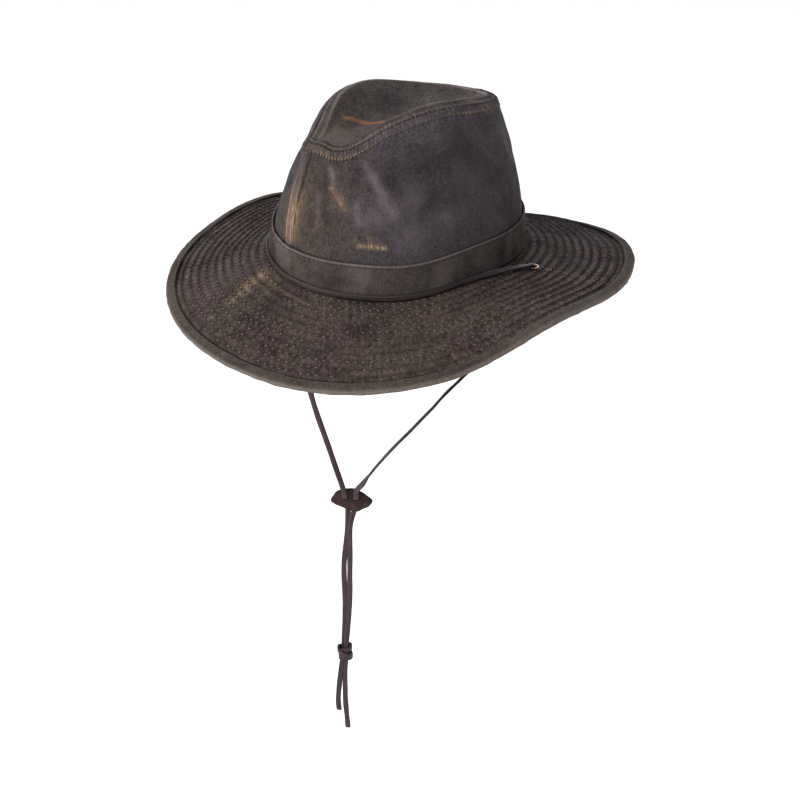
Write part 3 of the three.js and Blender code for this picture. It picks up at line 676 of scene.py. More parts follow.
def cloth(name, dark, light, cast, warm, flat_cut=False, fold=0.0006, ridge_light=0.5,
          grain_range=(0.68, 1.34), weave_shade=0.4):
    """Weathered cotton: cloudy tones, casts in patches, worn marks, weave, puckers, painted highlights and
    painted shade.
    """
    s = Shader(name)
    track = s.attribute("track", "Vector")
    wear = s.attribute("wear")
    pucker = s.attribute("pucker")
    cloud = s.noise(22, 6, 0.62, distortion=0.5)
    patch = s.noise(46, 5, 0.6, at=s.stretched(s.place, (1.0, 1.0, 0.55)))
    mottle = s.noise(140, 4, 0.6)
    fine = s.noise(560, 3, 0.65)
    speck = s.noise(980, 3, 0.65)
    colour = s.mix(s.remap(cloud, 0.38, 0.62), dark, light)
    colour = s.mix(s.remap(patch, 0.42, 0.6, 0.0, 0.85), colour, cast)
    warmth = s.times(s.attribute("warm"), s.remap(mottle, 0.3, 0.62, 0.45, 1.0))
    colour = s.mix(warmth, colour, warm)
    grain = s.plus(s.times(fine, 1.0), s.times(speck, 1.0))
    grain = s.plus(grain, s.times(mottle, 0.6))
    tone = s.mix(1.0, colour, s.remap(grain, 1.04, 1.56, *grain_range), "MULTIPLY")
    vector = s.stretched(s.place, (1000.0, 1000.0, 1000.0)) if flat_cut else track
    threads = s.weave(vector, WEAVE_PITCH)
    # Painted shade in the gaps between the threads of the weave.
    tone = s.mix(s.remap(threads, 0.0, 0.55, weave_shade, 0.0), tone, PAINTED_SHADE)
    fibre = s.noise(1.0, 4, 0.65, at=s.stretched(track, (1.0, 0.2, 1.0)))
    rub_and_sheen = s.noise(260, 5, 0.7)
    rough_wear = s.plus(s.times(rub_and_sheen, 0.35), s.times(fibre, 0.65))
    worn = s.plus(wear, s.times(s.math("SUBTRACT", rough_wear, 0.52), 2.6))
    worn = s.remap(worn, 0.05, 1.35, 0.0, 0.85)
    worn = s.times(worn, s.remap(wear, 0.02, 0.3))
    hairs = s.noise(1.0, 3, 0.6, at=s.stretched(track, (0.95, 0.11, 1.0)))
    worn = s.times(worn, s.remap(hairs, 0.38, 0.6, 0.45, 1.15))
    tone = s.mix(worn, tone, WORN_TAN)
    tone = s.mix(s.remap(worn, 0.5, 0.85, 0.0, 0.8), tone, shades(WORN_TAN, 1.6))
    rusty = s.remap(s.attribute("rust"), 0.1, 0.75)
    rusty = s.times(rusty, s.remap(rub_and_sheen, 0.3, 0.5, 0.6, 1.0))
    tone = s.mix(s.times(rusty, 0.9), tone, RUST)
    ticks = s.remap(s.noise(1.0, 2, 0.5, at=s.stretched(track, (0.6, 0.15, 1.0))), 0.4, 0.6)
    raised = s.times(ticks, pucker)
    lit = s.times(s.remap(ticks, 0.5, 1.0), s.times(pucker, ridge_light))
    tone = s.mix(lit, tone, shades(light, 2.3))
    # Painted highlights on seam crests, channel crests, folds, lips and edges, broken up by the same noise
    # as the wear.
    pale = s.times(s.attribute("pale"), s.remap(rub_and_sheen, 0.3, 0.6, 0.55, 1.0))
    tone = s.mix(pale, tone, shades(light, 3.0))
    # Painted shade: grooves, creases, seams and the places under the band and the binding go towards near
    # black.
    tone = s.mix(s.times(s.attribute("dark"), 0.97), tone, (0.004, 0.003, 0.0035))
    normal = s.bump(threads, 0.00025, 0.8)
    normal = s.bump(raised, fold, 1.0, normal)
    normal = s.bump(s.noise(190, 5, 0.62), 0.0008, 0.7, normal)
    return s.set(colour=tone, rough=s.remap(cloud, 0.3, 0.7, 0.75, 0.55), normal=normal, sheen=0.01,
                 sheen_rough=0.4, sheen_tint=(0.8, 0.85, 1.0), specular=0.03)


def thread(name, colour, tan):
    """Stitching thread, paler where the cloth round it is worn, and darkened with painted shade where its
    value is below 0.
    """
    s = Shader(name)
    wear = s.attribute("wear")
    twist = s.noise(2600, 2, 0.5)
    tone = s.mix(s.remap(twist, 0.35, 0.65), colour, shades(colour, 1.7))
    tone = s.mix(s.times(s.remap(wear, 0.05, 0.6), 0.8), tone, tan)
    # Painted shade on threads that lie deep, whose value is below 0.
    tone = s.mix(s.remap(wear, -1.0, 0.0, 0.9, 0.0), tone, PAINTED_SHADE)
    return s.set(colour=tone, rough=0.5, normal=s.bump(twist, 0.00012, 0.7), sheen=0.05,
                 sheen_rough=0.35, specular=0.15)


def leather(name, dark, light, patch, grain=1.0, streak=(0.02, 1.6, 1.0), dull=0.0):
    """Cut leather with streaks along it and rubbed, redder patches."""
    s = Shader(name)
    track = s.attribute("track", "Vector")
    lines = s.noise(1.0, 4, 0.6, at=s.stretched(track, streak))
    tone = s.mix(s.remap(lines, 0.36, 0.64), dark, light)
    spots = s.noise(190, 4, 0.6)
    tone = s.mix(s.remap(spots, 0.5, 0.72, 0.0, 0.8), tone, patch)
    tone = s.mix(s.times(s.attribute("wear"), 0.8), tone, (0.012, 0.008, 0.008))
    pores = s.noise(1400, 4, 0.7)
    normal = s.bump(pores, 0.00025 * grain, 0.6)
    normal = s.bump(lines, 0.00035, 0.6, normal)
    rough = s.remap(spots, 0.3, 0.7, 0.42, 0.6)
    return s.set(colour=tone, rough=rough, normal=normal, coat=0.04 * (1 - dull), coat_rough=0.35,
                 specular=0.28 - 0.2 * dull)


def metal(name, colour, dull):
    s = Shader(name)
    stain = s.noise(700, 4, 0.6)
    tone = s.mix(s.remap(stain, 0.4, 0.68), colour, dull)
    return s.set(colour=tone, metal=1.0, rough=s.remap(stain, 0.35, 0.7, 0.24, 0.5),
                 normal=s.bump(s.noise(1800, 3), 0.00006, 0.5))


CROWN_CLOTH = cloth("crown_cloth", (0.039, 0.031, 0.035), (0.078, 0.065, 0.072),
                    (0.062, 0.051, 0.058), (0.096, 0.074, 0.057))
# The tip is the side's cotton in brighter tones: painted light on the dent.
TIP_CLOTH = cloth("tip_cloth", (0.054, 0.044, 0.044), (0.112, 0.093, 0.092),
                  (0.086, 0.075, 0.072), (0.118, 0.090, 0.064), flat_cut=True, weave_shade=0.15)
BRIM_CLOTH = cloth("brim_cloth", (0.033, 0.021, 0.022), (0.069, 0.049, 0.050),
                   (0.052, 0.043, 0.034), (0.074, 0.056, 0.043), flat_cut=True, fold=0.0007,
                   ridge_light=0.8, grain_range=(0.54, 1.46))
BAND_CLOTH = cloth("band_cloth", (0.042, 0.032, 0.032), (0.081, 0.066, 0.065),
                   (0.059, 0.050, 0.046), (0.075, 0.061, 0.052), grain_range=(0.72, 1.28))
BINDING_CLOTH = cloth("binding_cloth", (0.046, 0.037, 0.034), (0.086, 0.071, 0.064),
                      (0.064, 0.056, 0.044), (0.084, 0.069, 0.054), grain_range=(0.7, 1.3))
BRIM_THREAD = thread("brim_thread", (0.125, 0.104, 0.098), (0.36, 0.27, 0.18))
CROWN_THREAD = thread("crown_thread", (0.075, 0.064, 0.060), (0.34, 0.225, 0.14))
LACE_LEATHER = leather("lace_leather", (0.014, 0.009, 0.010), (0.053, 0.038, 0.040),
                       (0.052, 0.027, 0.025))
CHIN_LEATHER = leather("chin_leather", (0.026, 0.016, 0.018), (0.072, 0.048, 0.053),
                       (0.080, 0.038, 0.036), dull=0.7)
SLIDER_LEATHER = leather("slider_leather", (0.024, 0.012, 0.011), (0.060, 0.030, 0.025),
                         (0.110, 0.037, 0.024), grain=1.6, streak=(0.16, 0.3, 1.0), dull=0.8)
EYELET_METAL = metal("eyelet_metal", (0.36, 0.22, 0.14), (0.10, 0.06, 0.045))


# Camera and light

CAMERA_AT = (0.7850, -0.6581, 0.4166)
CAMERA_PITCH = 28.0
CAMERA_TURN = 50.0
CAMERA_LENS = 69.1
FLOOR_AT = -0.78

camera_data = bpy.data.cameras.new("camera")
camera_data.lens = CAMERA_LENS
camera_data.sensor_width = 36.0
camera_data.clip_end = 50.0
camera = bpy.data.objects.new("camera", camera_data)
camera.location = CAMERA_AT
camera.rotation_euler = (math.radians(90 - CAMERA_PITCH), 0, math.radians(CAMERA_TURN))
bpy.context.scene.collection.objects.link(camera)
bpy.context.scene.camera = camera
bpy.context.scene.view_settings.view_transform = "Standard"


def area_light(name, at, size, power, colour=(1, 1, 1)):
    data = bpy.data.lights.new(name, "AREA")
    data.shape = "RECTANGLE"
    data.size, data.size_y = size
    data.energy = power
    data.color = colour
    lamp = bpy.data.objects.new(name, data)
    lamp.location = at
    lamp.rotation_euler = (-Vector(at)).to_track_quat("-Z", "Y").to_euler()
    bpy.context.scene.collection.objects.link(lamp)


area_light("key_light", (-0.35, -2.0, 0.95), (1.3, 1.1), 46, (1.0, 0.99, 0.97))
area_light("top_light", (-0.6, 0.2, 2.0), (1.6, 1.6), 9, (0.92, 0.96, 1.0))
area_light("back_light", (-1.3, 1.3, 0.9), (1.2, 0.8), 9, (0.90, 0.95, 1.0))

world = bpy.data.worlds.new("studio")
world.use_nodes = True
world.node_tree.nodes["Background"].inputs["Color"].default_value = (1, 1, 1, 1)
world.node_tree.nodes["Background"].inputs["Strength"].default_value = 0.62
bpy.context.scene.world = world

floor_mesh = bpy.data.meshes.new("floor")
reach = 60.0
floor_mesh.from_pydata([(-reach, -reach, FLOOR_AT), (reach, -reach, FLOOR_AT),
                        (reach, reach, FLOOR_AT), (-reach, reach, FLOOR_AT)], [], [(0, 1, 2, 3)])
floor_shader = Shader("floor_paper")
floor_tone = floor_shader.mix(floor_shader.noise(3, 2), (0.93, 0.93, 0.93), (0.95, 0.95, 0.95))
floor_shader.feed(floor_shader.surface.inputs["Emission Color"], (1, 1, 1, 1))
floor_shader.feed(floor_shader.surface.inputs["Emission Strength"], 0.38)
floor = new_piece("floor", floor_mesh, floor_shader.set(colour=floor_tone, rough=0.9))


# Chin lace

turned = math.radians(SLIDER_TURN)
SLIDER_ALONG = np.array([math.cos(turned), math.sin(turned), 0])
SLIDER_FRONT = np.array([math.sin(turned), -math.cos(turned), 0])


def from_slider(along, front, up):
    """A way out along the slider, out of its front and upward, for numbers or rows of them."""
    along, front, up = np.broadcast_arrays(along, front, up)
    return along[..., None] * SLIDER_ALONG + front[..., None] * SLIDER_FRONT + up[..., None] * UPRIGHT


def eyelet_frame(side):
    """Middle of an eyelet in the brim's thickness, and the way out of the brim's top there."""
    angle = np.array(side * EYELET_ANGLE)
    middle = brim_point(angle, np.array(EYELET_OFFSET), -BRIM_THICKNESS / 2)
    top = brim_point(angle, np.array(EYELET_OFFSET), 0.0)
    return middle, unit(top - middle)


def smooth_route(points, extra, step):
    """A smooth line through points, with values given at them carried along; even steps."""
    points, extra = np.asarray(points, float), np.asarray(extra, float)
    run = np.concatenate([[0], np.cumsum(np.linalg.norm(np.diff(points, axis=0), axis=1) ** 0.5)])
    full = np.concatenate([run[:, None], points, extra], 1)
    fine = np.linspace(0, run[-1], 40 * len(points))
    lines = np.stack([smooth(full, k + 1, fine) for k in range(points.shape[1] + extra.shape[1])], 1)
    length = run_along(lines[:, :3])
    at = np.linspace(0, length[-1], max(int(length[-1] / step), 4))
    even = np.stack([np.interp(at, length, lines[:, k]) for k in range(lines.shape[1])], 1)
    return even[:, :3], even[:, 3:], at


def lace_mesh(name, points, wides, material, step=1.2, width=LACE_WIDTH, thick=LACE_THICKNESS,
              seed=1):
    """A flat lace along a route; wides are the directions of its width."""
    line, wide, at = smooth_route(points, wides, step)
    ahead = unit(np.gradient(line, axis=0))
    wide = unit(wide - ahead * (wide * ahead).sum(-1, keepdims=True))
    thin = np.cross(ahead, wide)
    w, t = width / 2, thick / 2
    corner = min(0.5, 0.8 * t)
    section = []
    for cx, cy, start in ((w - corner, t - corner, 0), (-w + corner, t - corner, 90),
                          (-w + corner, -t + corner, 180), (w - corner, -t + corner, 270)):
        for k in range(4):
            a = math.radians(start + 30 * k)
            section.append((cx + corner * math.cos(a), cy + corner * math.sin(a)))
    section = np.array(section)
    uneven = 1 + 0.05 * swell(line, seed, 14)
    crest = 1 + 0.06 * swell(line, seed + 1, 9)
    loop = (
        line[None] + wide[None] * (section[:, 0, None] * uneven[None])[..., None]
        + thin[None] * (section[:, 1, None] * crest[None])[..., None]
    )
    track = joined(at[None, :], run_along(section)[:, None])
    edge = np.abs(section[:, 0]) > w - 0.3
    low = level((KNOT_AT[2] + 4 - line[:, 2]) / 10)
    wear = np.maximum(0.55 * edge[:, None], 0.35 * low[None])
    piece = loop_mesh(name, loop, material, track, round_it=False, wear=wear)
    return piece, line, at[-1]


def strand(side):
    """Stops of one chin strand: points and width directions."""
    middle, up = eyelet_frame(side)
    flat = np.array([1.0, 0, 0])
    held = SLIDER_FRONT if side > 0 else SLIDER_ALONG
    points = [middle + up * z for z in (-GAP / 2, -BRIM_THICKNESS / 2 - FLANGE_THICKNESS - GAP - 1)]
    wides = [flat, flat]
    for i, (out, along, height) in enumerate(STRAND_ROUTE):
        share = min((i + 1) / 4, 1)
        points.append(np.array([side * out, along, height]))
        wides.append(blend(flat, held, share))
    if side > 0:
        wides[-1] = SLIDER_FRONT + SLIDER_ALONG
    for along, height, aside, apart, before in PAIR_ROUTE + [LEFT_END if side > 0 else RIGHT_END]:
        points.append((0, along, height) + from_slider(side * aside, before + side * apart, 0))
        wides.append(SLIDER_ALONG)
    return np.array(points), np.array(wides)


def slider_piece():
    """The leather slider with its two holes; it hangs lower in the middle than the plain solid."""
    l, w = SLIDER_LENGTH / 2, SLIDER_WIDTH / 2
    bevel = 0.6
    arcs = [
        ((-l, -w * 0.28), (-l, w * 0.15), (-l * 0.6, w * 0.9), (-l * 0.08, w * 0.95)),
        ((-l * 0.08, w * 0.95), (l * 0.32, w * 0.97), (l * 0.9, w * 0.3), (l, -w * 0.02)),
        ((l, -w * 0.02), (l * 1.03, -w * 0.3), (l * 0.55, -w * 1.1), (l * 0.1, -w * 1.24)),
        ((l * 0.1, -w * 1.24), (-l * 0.25, -w), (-l * 1.03, -w * 0.6), (-l, -w * 0.28)),
    ]
    outline = []
    for a, b, c, d in arcs:
        for t in np.linspace(0, 1, 22, endpoint=False):
            u = 1 - t
            outline.append([u ** 3 * p + 3 * u * u * t * q + 3 * u * t * t * r + t ** 3 * s
                            for p, q, r, s in zip(a, b, c, d)])
    outline = np.array(outline)
    outline += 0.3 * np.stack([swell(np.c_[outline, 0 * outline[:, 0]], s, 7) for s in (3, 4)], 1)
    data = bpy.data.curves.new("slider_outline", "CURVE")
    data.dimensions = "2D"
    data.fill_mode = "BOTH"
    ring = np.linspace(0, 2 * math.pi, 28, endpoint=False)
    middles = [(side * HOLE_SPACING / 2, HOLE_RISE) for side in (1, -1)]
    hole = SLIDER_HOLE / 2
    holes = [np.stack([x + hole * np.cos(ring), z + hole * np.sin(ring)], 1) for x, z in middles]
    for shape in [outline, *holes]:
        spline = data.splines.new("POLY")
        spline.points.add(len(shape) - 1)
        for point, (x, y) in zip(spline.points, shape):
            point.co = (x * MM, y * MM, 0, 1)
        spline.use_cyclic_u = True
    data.extrude = (SLIDER_THICKNESS / 2 - bevel) * MM
    data.bevel_depth = bevel * MM
    data.bevel_resolution = 3
    data.offset = -bevel * MM
    maker = bpy.data.objects.new("slider_maker", data)
    bpy.context.scene.collection.objects.link(maker)
    bpy.context.view_layer.update()
    mesh = bpy.data.meshes.new_from_object(maker.evaluated_get(bpy.context.evaluated_depsgraph_get()))
    bpy.data.objects.remove(maker)
    mesh.name = "slider_leather_piece"
    mend(mesh, 1e-6, triangles=True)
    flat = np.empty(len(mesh.vertices) * 3)
    mesh.vertices.foreach_get("co", flat)
    flat = flat.reshape(-1, 3) / MM
    away = np.linalg.norm(flat[:, None, :2] - outline[None], axis=2).min(1)
    near = [np.abs(np.hypot(flat[:, 0] - x, flat[:, 1] - z) - hole) for x, z in middles]
    near = np.minimum.reduce(near)
    add_values(mesh, wear=np.maximum(0.9 * bell(away, 1.0), 0.8 * bell(near, 0.9)))
    add_track(mesh, "POINT", flat)
    placed = SLIDER_AT + from_slider(flat[:, 0], flat[:, 2], flat[:, 1])
    mesh.vertices.foreach_set("co", (placed * MM).ravel())
    shade_smooth(mesh)
    mesh.set_sharp_from_angle(angle=math.radians(50))
    mesh.update()
    piece = new_piece(mesh.name, mesh, SLIDER_LEATHER)
    return finish_piece(piece, "slider_leather", "cord_slider")


def knot_piece():
    """The knot below the slider: the two laces wound over themselves."""
    work = bmesh.new()
    # Each winding: turns from, turns to, height from, height to, reach aside, reach in front,
    # rise towards the side, seed.
    windings = [
        (-0.30, 0.85, 3.4, 1.2, 5.0, 3.6, 1.6, 21),
        (0.05, 1.15, 0.2, -2.0, 5.4, 4.9, -3.0, 22),
        (0.60, 1.55, -2.6, -4.6, 4.4, 3.4, 1.2, 23),
    ]
    for start, end, high, low, aside, front, rise, seed in windings:
        turns = np.linspace(start, end, 26)
        a = 2 * math.pi * turns
        share = (turns - start) / (end - start)
        up = high + (low - high) * share + rise * np.cos(a)
        centre = KNOT_AT + from_slider(aside * np.cos(a), front * np.sin(a), up)
        wide = UPRIGHT + 0 * centre
        part = lace_mesh("winding", centre, wide, CHIN_LEATHER, 0.8, 4.4, LACE_THICKNESS, seed)[0]
        work.from_mesh(part.data)
        bpy.data.objects.remove(part)
    mesh = bpy.data.meshes.new("knot_windings")
    work.to_mesh(mesh)
    work.free()
    return finish_piece(new_piece("knot_windings", mesh, CHIN_LEATHER), "lace_leather", "cord_knot")


slider = slider_piece()
knot = knot_piece()
for side, node, word in ((1, "cord_left", "left"), (-1, "cord_right", "right")):
    piece, line, length = lace_mesh(f"chin_lace_{word}", *strand(side), CHIN_LEATHER,
                                    width=CHIN_LACE_WIDTH, seed=10 + side)
    finish_piece(piece, "lace_leather", node)
    print("cord", word, round(length, 1), "mm")


# Crown

COLUMNS = 600
even_turns = np.linspace(0, 360, COLUMNS, endpoint=False)
around_angles = even_turns - 16.0 * np.sin(np.radians(2 * even_turns))
shares = np.concatenate([np.linspace(0, 0.9, 66, endpoint=False), np.linspace(0.9, 1, 35)])
base = wall(around_angles[None, :], shares[:, None])
base_normals = grid_normals(base)
tip_shares = np.concatenate([np.linspace(0, 0.3, 26, endpoint=False), np.linspace(0.3, 1, 34)])
tip_base = tip(around_angles[None, :], tip_shares[:, None])
tip_normals = grid_normals(tip_base)
# Columns that lie across the middle of the hat from each other meet at the floor of the dent.
mirror = (-np.arange(COLUMNS)) % COLUMNS
tip_normals[-1] = unit(tip_normals[-2] + tip_normals[-2][mirror])
joint = unit(base_normals[-1] + tip_normals[0])
base_normals[-1] = joint
tip_normals[0] = joint
for k in (1, 2):
    base_normals[-1 - k] = unit(base_normals[-1 - k] + joint * (0.5 / k))

# Distance down the cloth from the edge, and sideways from the front and back seams.
steps = np.linalg.norm(np.diff(base, axis=0), axis=2)
down = np.concatenate([np.cumsum(steps[::-1], axis=0)[::-1], np.zeros((1, COLUMNS))])
aside = np.abs(base[..., 0])
LAP_WIDTH = 7.2
seam_top = level((LAP_WIDTH - down) / 0.7)
seam_side = level((SEAM_WIDTH / 2 + 0.6 - aside) / 0.6)
ROW_DOWN = (1.1, 5.9)
ROW_ASIDE = 2.4
groove_top = sum(bell(down - d, 0.6) for d in ROW_DOWN)
groove_side = bell(aside - ROW_ASIDE, 0.6) * (down > 7)
crease = bell(down, 0.7)
relief = 0.6 * seam_top * (1 - seam_side) + SEAM_RAISE * seam_side * np.clip((down - 2) / 5, 0.65, 1)
relief -= 0.3 * groove_top + 0.3 * groove_side + 0.6 * crease


def gathers(distance, seed):
    """Small folds across the lapped seam, at distances from the edge."""
    place = [around_angles[None] * 1.6 + 0 * distance, distance * 0.35, 0 * distance]
    return swell(np.stack(place, -1), seed, 5.5)


gather = gathers(down, 31)
relief += 0.16 * gather * (bell(down - 3.5, 4.5) + 0.5 * bell(aside - 2, 3))
still = level((base[..., 2] - 22) / 26)
relief += still * (0.75 * swell(base, 11, 42) + 0.32 * swell(base, 12, 17))
outer = base + base_normals * relief[..., None]
inner = base - base_normals * CLOTH
seen = np.where(around_angles > 180, around_angles - 360, around_angles)[None]
edge_rub = 0.22 + 0.75 * bell(seen - 17, 13) + 0.55 * bell(seen - 120, 15) + 0.25 * bell(seen - 60, 40)
edge_rub = np.maximum(edge_rub, 0.45 * bell(seen + 30, 26))
dotted = 0.6 + 0.4 * np.sin(around_angles * 4.6)[None]
wall_wear = edge_rub * (0.8 * bell(down - 4.6, 2.2) + 0.5 * bell(down - 1.2, 1.4))
wall_wear = np.maximum(wall_wear, 0.25 * bell(aside - ROW_ASIDE, 0.9))
ahead = base[..., 1] < 0
front_rub = level((74 - base[..., 2]) / 24) * level((base[..., 2] - 22) / 8) * ahead
wall_wear = np.maximum(wall_wear, 1.4 * bell(aside - 2.9, 1.8) * front_rub)
wall_wear = np.maximum(wall_wear, 1.15 * bell(base[..., 0] - 1.5, 7.5) * front_rub)
for other in (marks(base, CROWN_PATCHES), lines(base, CROWN_LINES)):
    wall_wear = np.maximum(wall_wear, other)
wall_rust = lines(base, RUST_LINES)
wall_pucker = level(bell(down - 6.2, 2.2) + bell(down - 0.8, 2.2) + 0.6 * bell(aside - ROW_ASIDE, 1.8))
# Painted shade in the crease at the edge, along the rows of stitches and the front and back seams, and
# over the front of the side.
wall_shade = level(dotted * bell(down, 0.9) + 0.45 * dotted * bell(down - 1.1, 0.5)
                  + 0.35 * bell(down - 6.6, 0.6) + 0.4 * bell(aside, 0.7) * (down > 7)
                  + 0.4 * bell(aside - 4.3, 0.5) * (down > 7)
                  + 0.13 * level(1.3 - np.abs(seen + 10) / 50))
# Painted highlights: the crest of the edge, the front seam, the hat's left side, bluish patches of sheen
# and fold crests.
edge_light = level(0.8 * bell(seen + 34, 30) + 0.3)
wall_pale = 1.2 * edge_light * bell(down - 0.9, 0.9) + 0.45 * bell(aside, 1.2) * (seen < 90) * (down > 7)
for other in (marks(base, CROWN_SHEEN_PATCHES), lines(base, CROWN_FOLD_HIGHLIGHTS)):
    wall_pale = np.maximum(wall_pale, other)
wall_pale = wall_pale + 0.06 * bell(seen - 105, 32)
wall_warm = 0.85 * level(1.1 - np.abs(seen - 4) / 42) + 0 * down


# The unseen inside of a crown cloth has every third row of its outside.
INNER_STEP = 3


def thinned(count, step):
    """The numbers of every step-th row of a sheet, and of its last."""
    return np.concatenate([np.arange(0, count - 1, step), [count - 1]])


def sheet_mesh(name, outside, inside, kept, material, track, shares, weld=0.0, **values):
    """A sheet with a coarser inside, on which each value shows by a share, else not at all."""
    def both(out, back):
        return np.concatenate([out, back[kept][::-1]])

    values = {key: both(value, shares.get(key, 0) * value) for key, value in values.items()}
    return loop_mesh(name, both(outside, inside), material, both(track, track), weld, **values)


arc = closed_run(base[int(np.argmin(np.abs(shares - 0.35)))])
height = down[:1] - down
wall_track = joined(arc[None], np.concatenate([height, height[:, :1]], 1))
wall_piece = sheet_mesh(
    "crown_wall_cloth", outer, inner, thinned(len(base), INNER_STEP), CROWN_CLOTH, wall_track,
    {"wear": 0.2, "pucker": 1}, wear=wall_wear, rust=wall_rust, pucker=wall_pucker, dark=wall_shade,
    pale=wall_pale, warm=wall_warm)
finish_piece(wall_piece, "crown_cloth", "crown_side_left", "crown_side_right")

tip_steps = np.linalg.norm(np.diff(tip_base, axis=0), axis=2)
inward = np.concatenate([np.zeros((1, COLUMNS)), np.cumsum(tip_steps, axis=0)])
tip_relief = 0.3 * bell(inward - 2, 1.3) - 0.6 * bell(inward, 0.7)
tip_relief += 0.16 * gathers(inward, 33) * bell(inward - 2, 3.5)
free = level(inward / 14)
tip_relief += free * (0.5 * swell(tip_base, 13, 38) + 0.3 * swell(tip_base, 14, 15) - 0.4)
tip_outer = tip_base + tip_normals * tip_relief[..., None]
tip_inner = tip_base - tip_normals * CLOTH
for sheet in (tip_outer, tip_inner):
    sheet[-1, :, 0] = 0
    sheet[-1] = (sheet[-1] + sheet[-1][mirror]) / 2
tip_wear = np.maximum(marks(tip_base, CROWN_PATCHES), edge_rub * bell(inward - 1.6, 1.9))
tip_wear = np.maximum(tip_wear, 0.16 * bell(inward - 8, 3))
# Painted shade in the crease at the edge and just inside it.
tip_shade = level(dotted * bell(inward, 0.9) + 0.5 * bell(inward - 3.8, 2.8))
# Painted highlights along the edge, on a line further in and on the bluish patches of sheen.
tip_pale = np.maximum(edge_light * bell(inward - 1, 0.9), 0.5 * bell(inward - 7.8, 1.0))
tip_pale = np.maximum(tip_pale, marks(tip_base, CROWN_SHEEN_PATCHES))
tip_warm = 0.6 * level(1 - np.hypot(tip_base[..., 0] + 12, tip_base[..., 1] + 48) / 34)
tip_warm = np.maximum(tip_warm, 0.5 * bell(inward - 4, 4) * level(1.2 - np.abs(seen - 60) / 60))
tip_rust = lines(tip_base, RUST_LINES)
tip_pucker = bell(inward - 1, 3.0)
tip_track = joined(arc[None], np.concatenate([inward, inward[:, :1]], 1))
tip_piece = sheet_mesh(
    "crown_tip_cloth", tip_outer, tip_inner, thinned(len(tip_base), INNER_STEP), TIP_CLOTH, tip_track,
    {"pucker": 1}, weld=2e-5, wear=tip_wear, rust=tip_rust, pucker=tip_pucker, dark=tip_shade,
    pale=tip_pale, warm=tip_warm)
finish_piece(tip_piece, "crown_cloth", "crown_tip")


def row_at(grid, normals, distance, value, lift):
    """The line on a grid where a distance has a value, column by column."""
    points, ways = [], []
    for c in range(grid.shape[1]):
        d = distance[:, c]
        order = np.argsort(d)
        points.append([np.interp(value, d[order], grid[order, c, k]) for k in range(3)])
        ways.append([np.interp(value, d[order], normals[order, c, k]) for k in range(3)])
    points, ways = np.array(points), unit(np.array(ways))
    return points + ways * lift, ways


def same_wear_and_shade(value):
    """A wear function that gives all stitches one value, below 0 for stitches darkened with painted shade.
    """
    return lambda points: np.full(len(points), value)


def crown_wear(points):
    turn = compass(points)
    worn = 0.55 * bell(turn - 17, 14) + 0.4 * bell(turn - 120, 16) + 0.1
    return np.maximum(worn, marks(points, CROWN_PATCHES))


def front_wear(points):
    return np.clip((75 - points[:, 2]) / 20, -0.3, 0.9) * np.where(points[:, 1] < 0, 1, 0.2)


# The row in the crease at the edge is darkened with painted shade; the row below shows wear.
for word, place, lift, pitch, wear, thread_size, reach, slant in (
        ("groove", ROW_DOWN[0], 0.05, 2.6, same_wear_and_shade(-0.95), 0.4, 0.7, 0.0),
        ("edge", ROW_DOWN[1], 0.1, 2.1, crown_wear, 0.3, 1.05, 1.15)):
    row = (*row_at(outer, base_normals, down, place, lift), True, pitch, wear)
    stitching = stitch_mesh(f"crown_{word}_stitching", [row], CROWN_THREAD, thread_size, reach, slant)
    finish_piece(stitching, "crown_cloth")
upright_rows = []
for centre in (0, COLUMNS // 2):
    for side in (1, -1):
        points, ways = [], []
        for r in np.nonzero((shares > 0.27) & (down[:, centre] > 7.6))[0]:
            near = (np.arange(-22, 23) + centre) % COLUMNS
            near = near[np.argsort(outer[r, near, 0])]
            xs, x = outer[r, near, 0], side * ROW_ASIDE
            points.append([np.interp(x, xs, outer[r, near, k]) for k in range(3)])
            ways.append([np.interp(x, xs, base_normals[r, near, k]) for k in range(3)])
        ways = unit(np.array(ways))
        upright_rows.append((np.array(points) + ways * 0.12, ways, False, 2.4, front_wear))
upright_stitching = stitch_mesh("crown_upright_stitching", upright_rows, CROWN_THREAD, 0.36)
finish_piece(upright_stitching, "crown_cloth")


# Brim

BRIM_COLUMNS = 640
turns = np.linspace(0, 360, BRIM_COLUMNS, endpoint=False)
outer_edge = BRIM_WIDTH - BINDING_THICKNESS - GAP
row_places = BRIM_ROW_FIRST + BRIM_ROW_PITCH * np.arange(BRIM_ROWS)
row_step = BRIM_ROW_PITCH / 8
across = np.arange(BRIM_ROW_FIRST - 5 * row_step, outer_edge - 0.3, row_step)
across = np.concatenate([[-CLOTH, 0.0], across, [outer_edge]])
flat_top = brim_point(turns[None], across[:, None], 0.0)
brim_arc = np.stack([closed_run(row) for row in flat_top])
# 0 at the front of the brim, where the rows lie flat, and 1 at the sides and the back.
beside_front = ease(np.where(turns < 180, (turns - 60) / 58, (348 - turns) / 30))[None]


def quilting(place, rise):
    """Raised channels between the rows, how far the rows draw the cloth down, and where they lie."""
    phase = (place - BRIM_ROW_FIRST) / BRIM_ROW_PITCH
    inside = level((place - 1.5) / 3) * level((BRIM_WIDTH - BINDING_WIDTH - place) / 1.5)
    puff = np.abs(np.sin(math.pi * phase)) ** 1.1
    return rise * puff * inside, inside * level(1.15 - puff), inside


